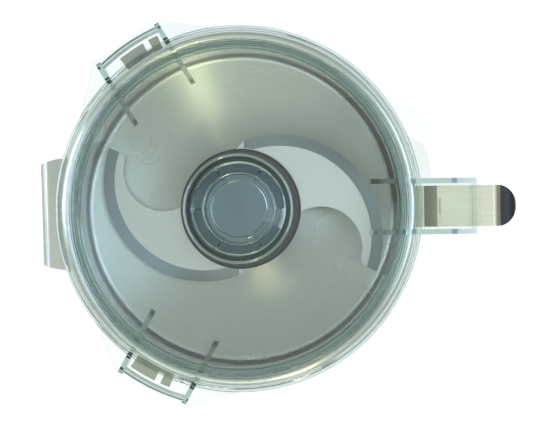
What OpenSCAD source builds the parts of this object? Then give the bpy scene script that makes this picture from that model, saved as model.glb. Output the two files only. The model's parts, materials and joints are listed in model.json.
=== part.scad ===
// Table-top vertical cutter mixer: motor base, lift-off bowl, two-blade cutter and clear lid.
// Units are millimetres. The drive axis is Z and the bench is at Z = 0.
// The bowl handle points along +X and the control panel faces -Y.

/* [Bowl] */
// Inside radius of the bowl wall
bowl_r = 121; // [112:1:135]
// Inside depth of the bowl from floor to rim
bowl_depth = 145; // [135:1:170]
// Sheet thickness of the bowl
bowl_wall = 1.5; // [1:0.1:2.5]
// Inside fillet between floor and wall
bowl_fillet = 6; // [3:0.5:10]
// Radius of the rolled bead round the rim
bead_r = 3.5; // [2.5:0.1:4.5]
// Height of the seat ring under the bowl
bowl_foot_h = 14.2; // [12.5:0.1:20]
// Distance from the inside of the bowl's wall to the outside of the seat ring
bowl_foot_inset = 17; // [14:1:23]
// Width of the seat ring
bowl_foot_w = 34; // [28:1:40]
// Outside radius of the column that the drive shaft passes through
column_r = 17; // [15:0.5:18]
// Wall of the column
column_wall = 3.5; // [2:0.5:4]
// Height of the column above the bowl floor
column_h = 62; // [60:1:64]
// Radius of the column's welded flange
column_flange_r = 40; // [34:1:60]
// Thickness of the column's welded flange
column_flange_t = 3; // [2:0.5:5]

/* [Lid tabs on the bowl] */
// Direction of the first tab on the bowl, and the second follows the ears' step
tab_angle = 121.3; // [119:0.1:123]
// Angle that a tab spans
tab_span = 13.2; // [10:0.1:16]
// How far the tabs stand out from the bowl's wall
tab_out = 17; // [12:0.5:20]
// Thickness of the tabs
tab_t = 2.5; // [1.5:0.1:3.5]
// Depth of the tabs' top below the rim
tab_drop = 18; // [14:0.5:22]
// Width of the notch in a tab
tab_notch = 4.4; // [2:0.1:6]
// Radius of the pin on a tab
tab_pin_r = 2; // [1:0.1:2.5]
// Height of the pin over its tab
tab_pin_h = 4; // [2:0.5:5]

/* [Handle] */
// Width of the handle's steel strap
strap_w = 29.8; // [22:0.2:30.4]
// Thickness of the strap
strap_t = 2.5; // [1.5:0.1:3.5]
// Distance from the axis to the outer face of the handle's leg
strap_reach = 189.8; // [184:0.2:200]
// Distance from the axis to where the strap starts to rise
strap_rise_x = 134.2; // [133.4:0.2:138]
// Length of the rising stretch along X
strap_rise_run = 9; // [6:0.5:14]
// Drop from the rim to the top of the strap's inner stretch
strap_low_drop = 17; // [14:0.5:20]
// Drop from the rim to the top of the strap's outer stretch
strap_high_drop = 8; // [7:0.5:10]
// Inside radius of the strap's bends
strap_bend = 4; // [3:0.5:10]
// Height of the handle loop
handle_h = 104; // [90:1:115]
// Length of the slot across the strap
slot_l = 12; // [6:0.5:16]
// Width of the slot across the strap
slot_w = 1.6; // [1:0.1:3]
// How far the grip stands out from the strap
grip_out = 11.6; // [8:0.2:14]
// Drop from the strap's top to the grip's top
grip_drop = 6.5; // [0:0.5:12]
// Length of the grip
grip_l = 92; // [80:1:100]
// Corner radius of the grip's ends
grip_corner = 8; // [4:0.5:8]
// Radius of the handle screws
handle_screw_r = 2; // [1.5:0.1:3]
// Radius of the magnet in the grip
magnet_r = 4; // [3:0.5:5]
// Length of the magnet in the grip
magnet_l = 4; // [3:0.5:6]

/* [Rear grip] */
// Direction of the rear grip
rear_angle = 181; // [175:1:185]
// Distance from the axis to the rear grip's outer face
rear_reach = 148; // [142:0.5:156]
// Sheet thickness of the rear grip
rear_t = 2; // [1:0.1:3]
// Half width of the rear grip
rear_half_w = 41.5; // [34:0.5:48]
// Distance from the axis where its ends start to round in
rear_round_x = 130; // [128:0.5:136]
// Drop from the rim to the rear grip
rear_drop = 60; // [40:1:80]
// Height of the rear grip's turned-down edge
rear_lip_h = 24; // [14:1:34]
// Inside radius of the rear grip's bend
rear_bend = 4; // [2:0.5:6]

/* [Lid] */
// Thickness of the lid's plate
lid_t = 3; // [2:0.1:4]
// Thickness of the lid's outer skirt
skirt_t = 3.3; // [2:0.1:3.6]
// Height of the lid's outer skirt below the plate
skirt_h = 12; // [8:0.5:13]
// Clearance between the rim bead and the outer skirt
skirt_gap = 0.9; // [0.5:0.1:1.2]
// Outer radius of the lid's inner skirt
inner_skirt_r = 117; // [105:0.5:118]
// Thickness of the inner skirt
inner_skirt_t = 2.1; // [1.5:0.1:3]
// Height of the inner skirt below the plate
inner_skirt_h = 14; // [10:0.5:18]
// Height of the raised ring on the plate over the inner skirt
lid_ring_h = 1.5; // [0.5:0.1:3]
// Number of fine ribs round the lid over its seal
fine_ribs = 3; // [1:1:3]
// Spacing of the fine ribs
fine_rib_gap = 1.6; // [1.4:0.1:1.8]
// Radius of the fine ribs
fine_rib_r = 0.6; // [0.4:0.1:0.6]
// Body thickness of the lid seal
seal_t = 2; // [1:0.1:2.4]
// Height of the lid seal
seal_h = 9; // [6:0.5:10]
// Clearance between the seal's lips and the bowl
seal_gap = 0.35; // [0.3:0.05:0.8]
// Thickness of each seal lip at its root
seal_lip_t = 1.6; // [1:0.1:2]

/* [Chimney] */
// Inside radius of the chimney
chimney_r = 33.4; // [28:0.2:36]
// Wall of the chimney
chimney_wall = 3; // [2:0.1:4]
// Height of the chimney above the lid's underside
chimney_h = 56; // [40:1:70]
// How far the chimney's top lip stands out
chimney_lip = 2.2; // [1.5:0.1:4]
// Height of the chimney's top lip
chimney_lip_h = 3.6; // [2:0.1:6]
// How far the chimney's foot stands out
chimney_foot = 2.3; // [1:0.1:4]
// Height of the chimney's foot over the plate
chimney_foot_h = 2; // [1:0.1:4]
// Inside radius of the funnel's throat
throat_r = 19.3; // [15:0.1:22]
// Wall of the throat's collar
throat_wall = 4.2; // [3:0.1:5]
// Depth of the throat's collar below the lid's underside
throat_drop = 12; // [8:0.5:13]
// Height of the throat's collar
throat_h = 10; // [8:0.5:12]
// Height over the lid's underside where the funnel meets the chimney
funnel_top = 8; // [4:0.5:14]
// Depth below the lid's underside where the funnel meets the collar
funnel_foot = 4; // [3:0.5:6]
// Radius of the bead round the funnel
funnel_bead_r = 1; // [0.6:0.1:1.2]
// Number of webs under the funnel
web_count = 6; // [3:1:8]
// Thickness of the webs under the funnel
web_t = 1.2; // [0.8:0.1:2]

/* [Lid ears] */
// Direction of the first ear
ear_angle = 123.7; // [118:0.1:128]
// Angle between the two ears
ear_step = 119.9; // [115:0.1:125]
// Half angle where the ear's flange leaves the skirt
ear_root_angle = 27; // [20:0.5:30]
// Half angle of the ear's outer corners
ear_corner_angle = 11.2; // [10.8:0.1:14]
// How far the ear's corners stand out from the middle of its wall
ear_lip = 5.2; // [3:0.2:8]
// Thickness of the ear's flange
ear_t = 2.4; // [1.5:0.1:3]
// Clearance between a tab and the ear's wall
ear_gap = 2; // [1:0.1:4]
// Thickness of the ear's wall
ear_wall_t = 2.6; // [1.5:0.1:3]
// Height of the ear's wall below the flange
ear_wall_h = 22; // [16:0.5:26]
// Spacing of the two ribs on an ear
ear_rib_gap = 50.4; // [46:0.2:54]
// Turn of the ribs away from the ear's direction
rib_skew = 2.4; // [0:0.1:4]
// Thickness of the ribs
rib_t = 3.6; // [2:0.1:4.4]
// Distance from the axis to the inner ends of the ears' ribs
rib_start = 90.5; // [85:0.5:105]
// Distance from the axis to the inner ends of the hood's sides
hood_start = 93.5; // [88:0.5:105]
// Height of the ribs' inner ends over the plate
rib_start_h = 5; // [1:0.1:6]
// Height of the ribs over the plate at the rim
rib_h = 11; // [6:0.5:14]
// How far the lug beside the hood stands out from the axis
lug_r = 140.4; // [137:0.2:144]
// Angle of the lug's inner end
lug_from = 5; // [2:0.5:8]
// Angle of the lug's outer corner
lug_corner = 17.5; // [14:0.5:20]
// Angle where the lug meets the skirt
lug_to = 23.4; // [21:0.1:28]

/* [Hood over the handle] */
// Clearance between the strap and the hood's side walls
hood_gap = 1.6; // [1:0.1:3]
// Distance from the axis to the hood's end wall
hood_reach = 170.6; // [165:0.2:176]
// Height of the hood's sides at its end over the plate
hood_end_h = 5; // [2:0.5:9]
// Distance from the axis where the hood's sides start to slope down
hood_slope_x = 152; // [145:1:160]
// Depth of the hood's sides below the lid's underside
hood_drop = 14; // [9:0.5:16]
// Thickness of the hood's end wall
hood_end_t = 2.6; // [2:0.1:4]
// Depth of the hood's end wall below the lid's underside
hood_end_drop = 5; // [3:0.5:6]
// How far the lip below the end wall stands out
hood_lip = 3.6; // [2:0.2:5]
// Thickness of the lip below the end wall
hood_lip_t = 2; // [1:0.1:3]

/* [Cutter] */
// Radius of the ground outer edge of a blade
edge_r = 78.2; // [74:0.2:80]
// Centre of the outer edge along the blade
edge_x = 28.9; // [27:0.1:31]
// Centre of the outer edge across the blade
edge_y = 22.2; // [20:0.1:24]
// Radius of the hollow inner edge of a blade
hollow_r = 31.2; // [28:0.2:33]
// Centre of the hollow along the blade
hollow_x = 60.3; // [58:0.1:62]
// Centre of the hollow across the blade
hollow_y = 30.2; // [28:0.1:32]
// Thickness of the blades
blade_t = 3; // [2:0.1:4]
// Width of the ground bevel
bevel_w = 8.7; // [5:0.1:10]
// Thickness left at the cutting edge
edge_t = 0.5; // [0.2:0.1:1]
// Radius of the round eye of a blade
eye_r = 31; // [29:0.5:36]
// Gap between the bowl floor and the hub
hub_lift = 2; // [1:0.1:4]
// Radius of the hub sleeve
hub_r = 21; // [20.4:0.1:22]
// Radius of the hub's bottom flange
hub_base_r = 30; // [28:0.5:36]
// Thickness of the hub's bottom flange
hub_base_t = 3; // [2:0.5:5]
// Height of the spacer between the two blades
spacer_h = 46; // [44:1:48]
// Radius of the dark clamp flange over the blades
flange_r = 45.3; // [40:0.1:48]
// Thickness of the clamp flange
flange_t = 6; // [4:0.5:8]
// Edge chamfer of the clamp flange
flange_chamfer = 1.6; // [0.5:0.1:3]
// Foot radius of the hub cap
cap_foot_r = 38; // [32:0.5:40]
// Top radius of the hub cap
cap_top_r = 26; // [24:0.5:30]
// Height of the hub cap
cap_h = 20; // [19:0.5:24]
// Height of the hub cap's straight foot
cap_foot_h = 3; // [1:0.5:6]
// Radius of the dimple in the hub cap
dimple_r = 2.9; // [1:0.1:5]
// Depth of the dimple
dimple_d = 0.9; // [0.3:0.1:1.5]
// Outside radius of the drive bush
bush_r = 14; // [12.5:0.5:16]
// Radius of the circle of tie screws
tie_r = 26; // [25.2:0.1:27]
// Radius of the tie screws
tie_screw_r = 2; // [1.5:0.1:2.5]

/* [Drive] */
// Radius of the drive shaft
shaft_r = 9; // [8:0.1:10]
// Half distance between the shaft's two flats
flat_half = 6.5; // [5.5:0.1:7.5]
// Length of the shaft's flats
flat_l = 14; // [10:0.5:16]
// Outside radius of the motor case
motor_r = 73; // [68:0.5:76]
// Wall of the motor case
motor_wall = 2.8; // [2:0.1:4]
// Length of the motor case
motor_l = 144; // [130:1:150]
// Inside radius of the stator
stator_r = 38.3; // [34:0.1:44]
// Height of the stator stack
stator_h = 80; // [60:1:90]
// Air gap between rotor and stator
air_gap = 0.6; // [0.4:0.1:1]
// Height of each end winding
winding_h = 20; // [12:1:25]
// Inside radius of the end windings
winding_in = 45; // [44.5:0.5:50]
// Outside radius of the end windings
winding_out = 66; // [58:0.5:66]
// Radius of the two end shields
shield_r = 84; // [81:0.5:85]
// Thickness of the upper end shield
shield_top_t = 12; // [10:0.5:16]
// Thickness of the lower end shield
shield_low_t = 10; // [8:0.5:14]
// Outside radius of the bearings
bearing_r = 20; // [17:0.5:22]
// Radius of the circle of motor bolts
motor_bolt_circle = 79; // [77.5:0.1:80]
// Radius of the motor bolts
motor_bolt_r = 2.5; // [2:0.1:3]
// Radius of the cooling fan
fan_r = 60; // [45:1:70]
// Height of the fan's vanes
fan_h = 16; // [8:1:18]
// Thickness of the fan's disc
fan_disc_t = 3; // [2:0.5:4]
// Number of fan vanes
fan_vanes = 9; // [5:1:14]
// Gap between the fan and the lower end shield
fan_gap = 8; // [5:1:9]
// Length of the shaft below the fan
shaft_tail = 3; // [1:1:6]

/* [Base] */
// Width and depth of the housing
base_w = 224; // [222:1:232]
// Corner radius of the housing
base_corner = 50; // [46:1:54]
// Height of the housing
base_h = 215; // [212:1:235]
// Wall of the housing
base_wall = 3; // [2.5:0.1:4]
// Top wall of the housing
base_top_t = 4; // [3:0.5:6]
// Thickness of the base plate
plate_t = 3; // [2:0.5:5]
// Height of the feet
foot_h = 12; // [8:1:16]
// Radius of the feet
foot_r = 15; // [12:0.5:17]
// Distance from the housing's sides to the feet and their screws
foot_inset = 28; // [26:0.5:32]
// Radius of the foot screws
foot_screw_r = 2.5; // [2:0.1:3]
// Radius of the screw posts in the housing's corners
post_r = 7; // [5:0.5:8]
// Height of the screw posts
post_h = 40; // [25:1:60]
// Distance from the housing's sides to the deck disc under the bowl
deck_inset = 4; // [2:0.5:6]
// Thickness of the deck disc
deck_t = 8; // [7:0.5:12]
// Edge chamfer of the deck disc
deck_chamfer = 2; // [0.5:0.5:3]
// Distance from the deck's edge to its screws
deck_screw_inset = 10; // [9:0.5:12]
// Radius of the deck screws
deck_screw_r = 2.5; // [2:0.1:3]
// Radius of the boss round the shaft on the deck
boss_r = 28; // [25:0.5:32]
// Height of the boss over the deck
boss_h = 8; // [6:0.5:9]
// Radius of the locating studs
stud_r = 5; // [4:0.1:6]
// Height of the locating studs over the deck
stud_h = 9; // [6:0.5:10]
// Number of locating studs
stud_count = 3; // [3:1:6]

/* [Control panel] */
// Width of the console on the front
console_w = 150; // [150:1:156]
// Height of the console's bottom over the base plate
console_z = 20; // [15:1:30]
// Height of the console
console_h = 115; // [108:1:125]
// Height of the console's upright lower edge
console_edge = 18; // [10:1:20]
// How far the console stands out at the bottom
console_out = 22; // [20:0.5:24]
// How far the console stands out at the top
console_top_out = 8; // [6:0.5:10]
// Width of the panel plate
panel_w = 142; // [138:1:146]
// Height of the panel plate along the slope
panel_h = 84; // [78:1:88]
// Thickness of the panel plate
panel_t = 3; // [2:0.5:4]
// Overlap of the panel plate on the console
panel_lap = 8; // [7:0.5:10]
// Radius of the panel screws
panel_screw_r = 1.5; // [1:0.1:2]
// Radius of the push buttons
button_r = 9.5; // [8:0.1:11]
// How far the buttons stand out of the panel
button_out = 5; // [4:0.5:7]
// Travel of the buttons
button_travel = 3; // [2:0.5:3.5]
// Spacing of the buttons
button_gap = 28; // [26:0.5:28]
// Clearance round a button
button_clear = 0.4; // [0.3:0.1:0.6]
// Radius of the button stems
stem_r = 3; // [2:0.5:4]
// Width of the switch blocks
switch_w = 24; // [23:0.5:25]
// Depth of the switch blocks
switch_d = 26; // [22:1:30]
// Radius of the speed knob
knob_r = 15; // [12:0.5:18]
// Height of the speed knob
knob_h = 14; // [10:0.5:20]
// Distance from the middle of the panel to the knob
knob_x = 42; // [40:0.5:46]
// Number of grooves round the knob
knob_grooves = 12; // [8:1:20]
// Radius of each groove
groove_r = 1.6; // [1:0.1:2]
// Radius of the speed control behind the knob
pot_r = 12; // [9:0.5:13]
// Depth of the speed control
pot_d = 14; // [10:1:18]

/* [Base fittings] */
// Distance from the vent grille's ends to the housing's round corners
vent_margin = 12; // [8:1:20]
// Height of the vent grille
vent_h = 52; // [40:1:56]
// Thickness of the vent grille
vent_t = 2; // [1:0.5:3]
// Number of vent slots
vent_slots = 5; // [3:1:6]
// Height of each vent slot
vent_slot_h = 4; // [2:0.5:5]
// Overlap of the vent grille on the housing
vent_lap = 8; // [6:0.5:10]
// Height of the vent grille's middle over the base plate
vent_z = 66; // [60:1:90]
// Radius of the cable gland's stem
gland_r = 8; // [6:0.5:10]
// Radius of the cable gland's collar
gland_collar_r = 12; // [11:0.5:14]
// Length of the cable gland outside
gland_out = 16; // [10:1:24]
// Radius of the cable's hole in the gland
gland_bore = 4.5; // [3:0.5:5]
// Distance from the housing's round corner to the gland's middle
gland_inset = 22; // [16:1:28]
// Height of the gland over the base plate
gland_z = 16; // [14:1:20]
// Radius of the run capacitor
cap_can_r = 14; // [10:0.5:14]
// Height of the run capacitor
cap_can_h = 41; // [30:1:41]
// Gap between the capacitor and the housing's wall
cap_can_gap = 7; // [5:0.5:10]
// Place of the capacitor along Y
cap_can_y = 30; // [10:0.5:40]
// Width of the control board
board_w = 70; // [50:1:90]
// Height of the control board
board_h = 100; // [70:1:120]
// Thickness of the control board
board_t = 1.6; // [1:0.1:2]
// Length of the board standoffs
standoff_l = 6; // [4:0.5:8]
// Height of the board's middle over the base plate
board_z = 110; // [90:1:120]
// Length of the reed switch block
reed_l = 20; // [14:1:24]

/* [Hidden] */
$fn = 96;
// Overrun of every cut
over = 0.5;
// Clearance of pieces that sit in one another within one body
fit = 0.1;
// Clearance between pieces that move apart
part_gap = 0.3;
// Running clearance of the shaft in its bearings and seal
run = 0.06;
// Height of every screw head
head_h = 2.4;
// Ratio of a screw head's radius to its shank's radius
head_share = 1.8;
// Share of the bearing's radius for the deck's bore
deck_bore_share = 0.7;
// Shares of the bearing's radius for the edges of its groove
groove_out_share = 0.85;
groove_in_share = 0.65;
// Share of a stud's radius for its shank
shank_share = 0.6;
// Shares of a tab's span, from its middle, for the notch and for the pin
notch_share = 0.2;
pin_share = 0.165;
// Share of the gland's collar for its round nose
nose_share = 0.8;
// Ratio of the fan's hub to the shaft
fan_hub_share = 1.6;
// Corners of a blade as shares of the eye, the flange, the edge, the reach and the hollow
eye_shares = [[-0.5, 0], [-0.5, 0.9], [0.8, -0.3]];
shoulder_shares = [[-0.09, 0.978], [0.19, 1.25]];
outer_shares = [[0, 1], [0.25, -0.765]];
tip_shares = [[0.8678, -0.4154], [0.8419, -0.3701], [0.8475, -0.2424]];
throat_shares = [-0.46, 0.888];

// Levels up the drive axis
plate_z = foot_h;
housing_z = plate_z + plate_t;
ceiling_z = housing_z + base_h - base_top_t;
deck_z = housing_z + base_h;
deck_top = deck_z + deck_t;
seat_z = deck_top + part_gap;
floor_under = seat_z + bowl_foot_h;
floor_z = floor_under + bowl_wall;
rim_z = floor_z + bowl_depth;
lid_z = rim_z + part_gap;

// Motor levels, hung under the housing's top wall
case_top = ceiling_z - shield_top_t;
case_z = case_top - motor_l;
shield_low_z = case_z - shield_low_t;
stator_z = case_z + (motor_l - stator_h) / 2;
fan_top = shield_low_z - fan_gap;
fan_z = fan_top - fan_h - fan_disc_t;
shaft_z = fan_z - shaft_tail;

// Cutter levels
hub_z = floor_z + hub_lift;
low_blade_z = hub_z + hub_base_t;
spacer_z = low_blade_z + blade_t;
high_blade_z = spacer_z + spacer_h;
flange_z = high_blade_z + blade_t;
cap_z = flange_z + flange_t;
cap_top_z = cap_z + cap_h;
column_top = floor_z + column_h;
bush_z = column_top + part_gap;
shaft_top = bush_z + flat_l;
hub_top = shaft_top + part_gap;
column_bore = column_r - column_wall;
hub_bore = column_r + part_gap;

// Radii of the bowl and lid
bowl_out = bowl_r + bowl_wall;
bead_mid = bowl_r + bead_r;
skirt_in = bead_mid + bead_r + skirt_gap;
skirt_out = skirt_in + skirt_t;
tab_r = bowl_out + tab_out;
ear_wall_r = tab_r + ear_gap + ear_wall_t / 2;
ear_corner_r = ear_wall_r + ear_lip;
hood_in = strap_w / 2 + hood_gap;

// Slope of the funnel and the place of its bead between the collar and the chimney
throat_mid = throat_r + throat_wall / 2;
funnel_slope = (funnel_top + funnel_foot) / (chimney_r - throat_mid);
funnel_bead_at = throat_mid + (chimney_r - throat_mid) * 2 / 5;

// Handle levels
strap_low = rim_z - strap_low_drop;
strap_high = rim_z - strap_high_drop;
leg_in = strap_reach - strap_t;
bend_out = strap_bend + strap_t;
strap_foot = strap_high - handle_h;
grip_top = strap_high - grip_drop;
grip_z = grip_top - grip_l;
grip_screw_inset = grip_l / 5;
rise_end = strap_rise_x + strap_rise_run;
slot_x = rise_end + slot_w;

// Console and panel
front_y = -base_w / 2 - console_out;
console_low = housing_z + console_z;
console_top = console_low + console_h;
slope_low = console_low + console_edge;
slope_run = console_out - console_top_out;
tilt = atan(slope_run / (console_top - slope_low));
slope_wall = base_wall / cos(tilt);
panel_mid_z = (slope_low + console_top) / 2;
panel_mid_y = slope_y(panel_mid_z);
panel_x = panel_w / 2 - panel_lap / 2;
panel_y = panel_h / 2 - panel_lap / 2;
first_button_x = -button_gap / 5;

// Places that follow the housing's and the bowl's sizes
wall_in = base_w / 2 - base_wall;
foot_x = base_w / 2 - foot_inset;
deck_r = base_w / 2 - deck_inset;
deck_screw_circle = deck_r - deck_screw_inset;
bowl_foot_r = bowl_r - bowl_foot_inset;
stud_circle = bowl_foot_r - bowl_foot_w / 2;
vent_w = base_w - 2 * base_corner - 2 * vent_margin;
gland_x = base_w / 2 - base_corner - gland_inset;
cap_can_x = wall_in - cap_can_gap - cap_can_r;

// The console's sloping face at height z
function slope_y(z) = front_y + (z - slope_low) * tan(tilt);

// Point at a radius and an angle
function polar(r, a) = [r * cos(a), r * sin(a)];

module tube(r_out, r_in, h) {
    difference() {
        cylinder(r = r_out, h = h);
        translate([0, 0, -over]) cylinder(r = r_in, h = h + 2 * over);
    }
}

// Quarter of a ring in the quadrant where X and Y have the given signs
module quarter_ring(r_in, r_out, sx, sy) {
    intersection() {
        difference() {
            circle(r = r_out);
            circle(r = r_in);
        }
        translate([sx > 0 ? 0 : -r_out, sy > 0 ? 0 : -r_out]) square(r_out);
    }
}

// Upright block with a square plan and round corners
module round_block(w, r, h) {
    linear_extrude(h) union() {
        square([w, w - 2 * r], center = true);
        square([w - 2 * r, w], center = true);
        for (sx = [-1, 1], sy = [-1, 1])
            translate([sx * (w / 2 - r), sy * (w / 2 - r)]) circle(r = r);
    }
}

// Screw with its head above Z = 0 and its shank below, with a cross or hex recess left out
module screw(r, l) {
    translate([0, 0, -l]) cylinder(r = r, h = l);
    difference() {
        cylinder(r = r * head_share, h = head_h);
        translate([0, 0, head_h / 2]) cylinder(r = r, h = head_h, $fn = 6);
    }
}

module at_polar(r, a, z) {
    rotate([0, 0, a]) translate([r, 0, z]) children();
}

// Profile drawn in X and Z, run along Y
module along_y(w) {
    rotate([90, 0, 0]) linear_extrude(w, center = true) children();
}

// Profile drawn in Y and Z, run along X
module along_x(w) {
    rotate([90, 0, 90]) linear_extrude(w, center = true) children();
}

module on_panel(x, y, z) {
    translate([0, panel_mid_y, panel_mid_z]) rotate([90 - tilt, 0, 0]) translate([x, y, z])
        children();
}

module at_corners(x, y) {
    for (sx = [-1, 1], sy = [-1, 1]) translate([sx * x, sy * y, 0]) children();
}

// BASE

// Console outline in Y and Z, shrunk by the wall for its hollow
module console_outline(inset, inset_slope) {
    polygon([
        [-base_w / 2 + base_wall + over, console_low + inset],
        [front_y + inset_slope, console_low + inset],
        [front_y + inset_slope, slope_low],
        [slope_y(console_top - inset) + inset_slope, console_top - inset],
        [-base_w / 2 + base_wall + over, console_top - inset]
    ]);
}

// Posts over the feet, each tied to its corner of the housing by a web
module screw_posts() {
    web_l = base_corner * sqrt(2);
    for (a = [45:90:315]) at_polar(foot_x * sqrt(2), a, 0) {
        cylinder(r = post_r, h = post_h);
        translate([0, -base_wall / 2, 0]) cube([web_l, base_wall, post_h]);
    }
}

module base_housing() {
    color([0.80, 0.81, 0.82]) difference() {
        union() {
            translate([0, 0, housing_z]) round_block(base_w, base_corner, base_h);
            along_x(console_w) console_outline(0, 0);
        }
        difference() {
            translate([0, 0, housing_z - over])
                round_block(base_w - 2 * base_wall, base_corner - base_wall, base_h - base_top_t + over);
            translate([0, 0, housing_z]) screw_posts();
        }
        along_x(console_w - 2 * base_wall) console_outline(base_wall, slope_wall);
        on_panel(0, 0, 0)
            cube([panel_w - 2 * panel_lap, panel_h - 2 * panel_lap, 2 * (base_wall + over)], center = true);
        on_panel(0, 0, -base_wall - over) at_corners(panel_x, panel_y)
            cylinder(r = panel_screw_r + fit, h = base_wall + 2 * over);
        at_corners(foot_x, foot_x) translate([0, 0, housing_z - over])
            cylinder(r = foot_screw_r + fit, h = post_h / 2 + over);
        // Holes in the top wall for the shaft's boss, the motor bolts and the deck screws
        translate([0, 0, ceiling_z - over]) {
            cylinder(r = bearing_r + part_gap, h = base_top_t + 2 * over);
            for (a = [45:90:315])
                at_polar(motor_bolt_circle, a, 0) cylinder(r = motor_bolt_r + fit, h = base_top_t + 2 * over);
            for (a = [30:60:330])
                at_polar(deck_screw_circle, a, 0) cylinder(r = deck_screw_r + fit, h = base_top_t + 2 * over);
        }
        // Window for the vent grille and hole for the cable gland in the back wall
        translate([0, base_w / 2, housing_z + vent_z])
            cube([vent_w - 2 * vent_lap, 2 * (base_wall + over), vent_h - 2 * vent_lap], center = true);
        for (sx = [-1, 1], sz = [-1, 1])
            translate([
                sx * (vent_w - vent_lap) / 2,
                base_w / 2,
                housing_z + vent_z + sz * (vent_h - vent_lap) / 2
            ]) rotate([90, 0, 0])
                cylinder(r = panel_screw_r + fit, h = 2 * (base_wall + over), center = true);
        translate([gland_x, base_w / 2, housing_z + gland_z]) rotate([90, 0, 0])
            cylinder(r = gland_r + fit, h = 2 * (base_wall + over), center = true);
    }
}

module base_plate() {
    color([0.62, 0.64, 0.66]) translate([0, 0, plate_z]) difference() {
        round_block(base_w, base_corner, plate_t);
        at_corners(foot_x, foot_x) translate([0, 0, -over])
            cylinder(r = foot_screw_r + fit, h = plate_t + 2 * over);
    }
}

module rubber_feet() {
    color([0.10, 0.10, 0.11]) at_corners(foot_x, foot_x) difference() {
        union() {
            cylinder(r = foot_r, h = foot_h - foot_r / 6);
            translate([0, 0, foot_h - foot_r / 6]) cylinder(r = foot_r - foot_r / 6, h = foot_r / 6);
        }
        translate([0, 0, -over]) cylinder(r = foot_screw_r * head_share + fit, h = foot_h / 2 + over);
        cylinder(r = foot_screw_r + fit, h = foot_h + over);
    }
}

module foot_screws() {
    color([0.72, 0.73, 0.74]) at_corners(foot_x, foot_x)
        translate([0, 0, foot_h / 2]) mirror([0, 0, 1])
            screw(foot_screw_r, foot_h / 2 + plate_t + post_h / 2 - over);
}

module top_deck() {
    color([0.74, 0.75, 0.76]) translate([0, 0, deck_z]) difference() {
        union() {
            cylinder(r = deck_r, h = deck_t - deck_chamfer);
            translate([0, 0, deck_t - deck_chamfer])
                cylinder(r1 = deck_r, r2 = deck_r - deck_chamfer, h = deck_chamfer);
            cylinder(r = boss_r, h = deck_t + boss_h);
        }
        translate([0, 0, -over]) cylinder(r = bearing_r * deck_bore_share, h = deck_t + boss_h + 2 * over);
        translate([0, 0, deck_t]) cylinder(r = bearing_r + fit, h = boss_h + over);
        for (a = [45:90:315]) at_polar(motor_bolt_circle, a, -over)
            cylinder(r = motor_bolt_r + fit, h = deck_t * 3 / 4 + over);
        for (a = [30:60:330]) {
            at_polar(deck_screw_circle, a, -over) cylinder(r = deck_screw_r + fit, h = deck_t + 2 * over);
            at_polar(deck_screw_circle, a, deck_t / 2)
                cylinder(r = deck_screw_r * head_share + fit, h = deck_t / 2 + over);
        }
        for (a = [60:360 / stud_count:419]) at_polar(stud_circle, a, deck_t / 2)
            cylinder(r = stud_r * shank_share + fit, h = deck_t / 2 + over);
    }
}

module locating_studs() {
    color([0.78, 0.79, 0.80]) for (a = [60:360 / stud_count:419]) at_polar(stud_circle, a, deck_top) {
        translate([0, 0, -deck_t / 2]) cylinder(r = stud_r * shank_share, h = deck_t / 2);
        cylinder(r = stud_r, h = stud_h - stud_r / 3);
        translate([0, 0, stud_h - stud_r / 3]) cylinder(r1 = stud_r, r2 = stud_r * 2 / 3, h = stud_r / 3);
    }
}

module deck_screws() {
    color([0.70, 0.71, 0.72]) for (a = [30:60:330])
        at_polar(deck_screw_circle, a, deck_z + deck_t / 2)
            screw(deck_screw_r, deck_t / 2 + base_top_t + head_h);
}

module control_panel() {
    color([0.13, 0.14, 0.15]) on_panel(0, 0, 0) difference() {
        linear_extrude(panel_t) union() {
            square([panel_w, panel_h - panel_lap], center = true);
            square([panel_w - panel_lap, panel_h], center = true);
            at_corners(panel_x, panel_y) circle(r = panel_lap / 2);
        }
        at_corners(panel_x, panel_y) translate([0, 0, -over])
            cylinder(r = panel_screw_r + fit, h = panel_t + 2 * over);
        for (i = [0:2]) translate([first_button_x + i * button_gap, 0, -over])
            cylinder(r = button_r + button_clear, h = panel_t + 2 * over);
        translate([-knob_x, 0, -over]) cylinder(r = pot_r / 2 + part_gap, h = panel_t + 2 * over);
    }
}

module panel_screws() {
    color([0.72, 0.73, 0.74]) on_panel(0, 0, panel_t) at_corners(panel_x, panel_y)
        screw(panel_screw_r, panel_t + base_wall + over);
}

// Switch blocks with a well for the button and a bore for its stem
module switch_blocks() {
    color([0.20, 0.21, 0.22]) for (i = [0:2]) on_panel(first_button_x + i * button_gap, 0, -switch_d)
        difference() {
            translate([-switch_w / 2, -switch_w / 2, 0]) cube([switch_w, switch_w, switch_d]);
            translate([0, 0, switch_d - button_travel - 2 * part_gap])
                cylinder(r = button_r + button_clear, h = button_travel + 2 * part_gap + over);
            translate([0, 0, switch_d / 4]) cylinder(r = stem_r + button_clear, h = switch_d);
        }
}

module speed_pot() {
    color([0.35, 0.36, 0.38]) on_panel(-knob_x, 0, -pot_d) difference() {
        union() {
            cylinder(r = pot_r, h = pot_d);
            cylinder(r = pot_r / 2, h = pot_d + panel_t);
        }
        translate([0, 0, pot_d / 3]) cylinder(r = stem_r + run, h = pot_d + panel_t);
    }
}

module push_button(i, tint) {
    color(tint) on_panel(first_button_x + i * button_gap, 0, -part_gap) {
        cylinder(r = button_r, h = panel_t + button_out - part_gap * 2);
        translate([0, 0, panel_t + button_out - part_gap * 2])
            cylinder(r1 = button_r, r2 = button_r - part_gap * 3, h = part_gap * 3);
        translate([0, 0, -switch_d / 2]) cylinder(r = stem_r, h = switch_d / 2 + over);
    }
}

module start_button() { push_button(0, [0.10, 0.55, 0.25]); }

module stop_button() { push_button(1, [0.75, 0.10, 0.10]); }

module pulse_button() { push_button(2, [0.85, 0.86, 0.86]); }

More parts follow.
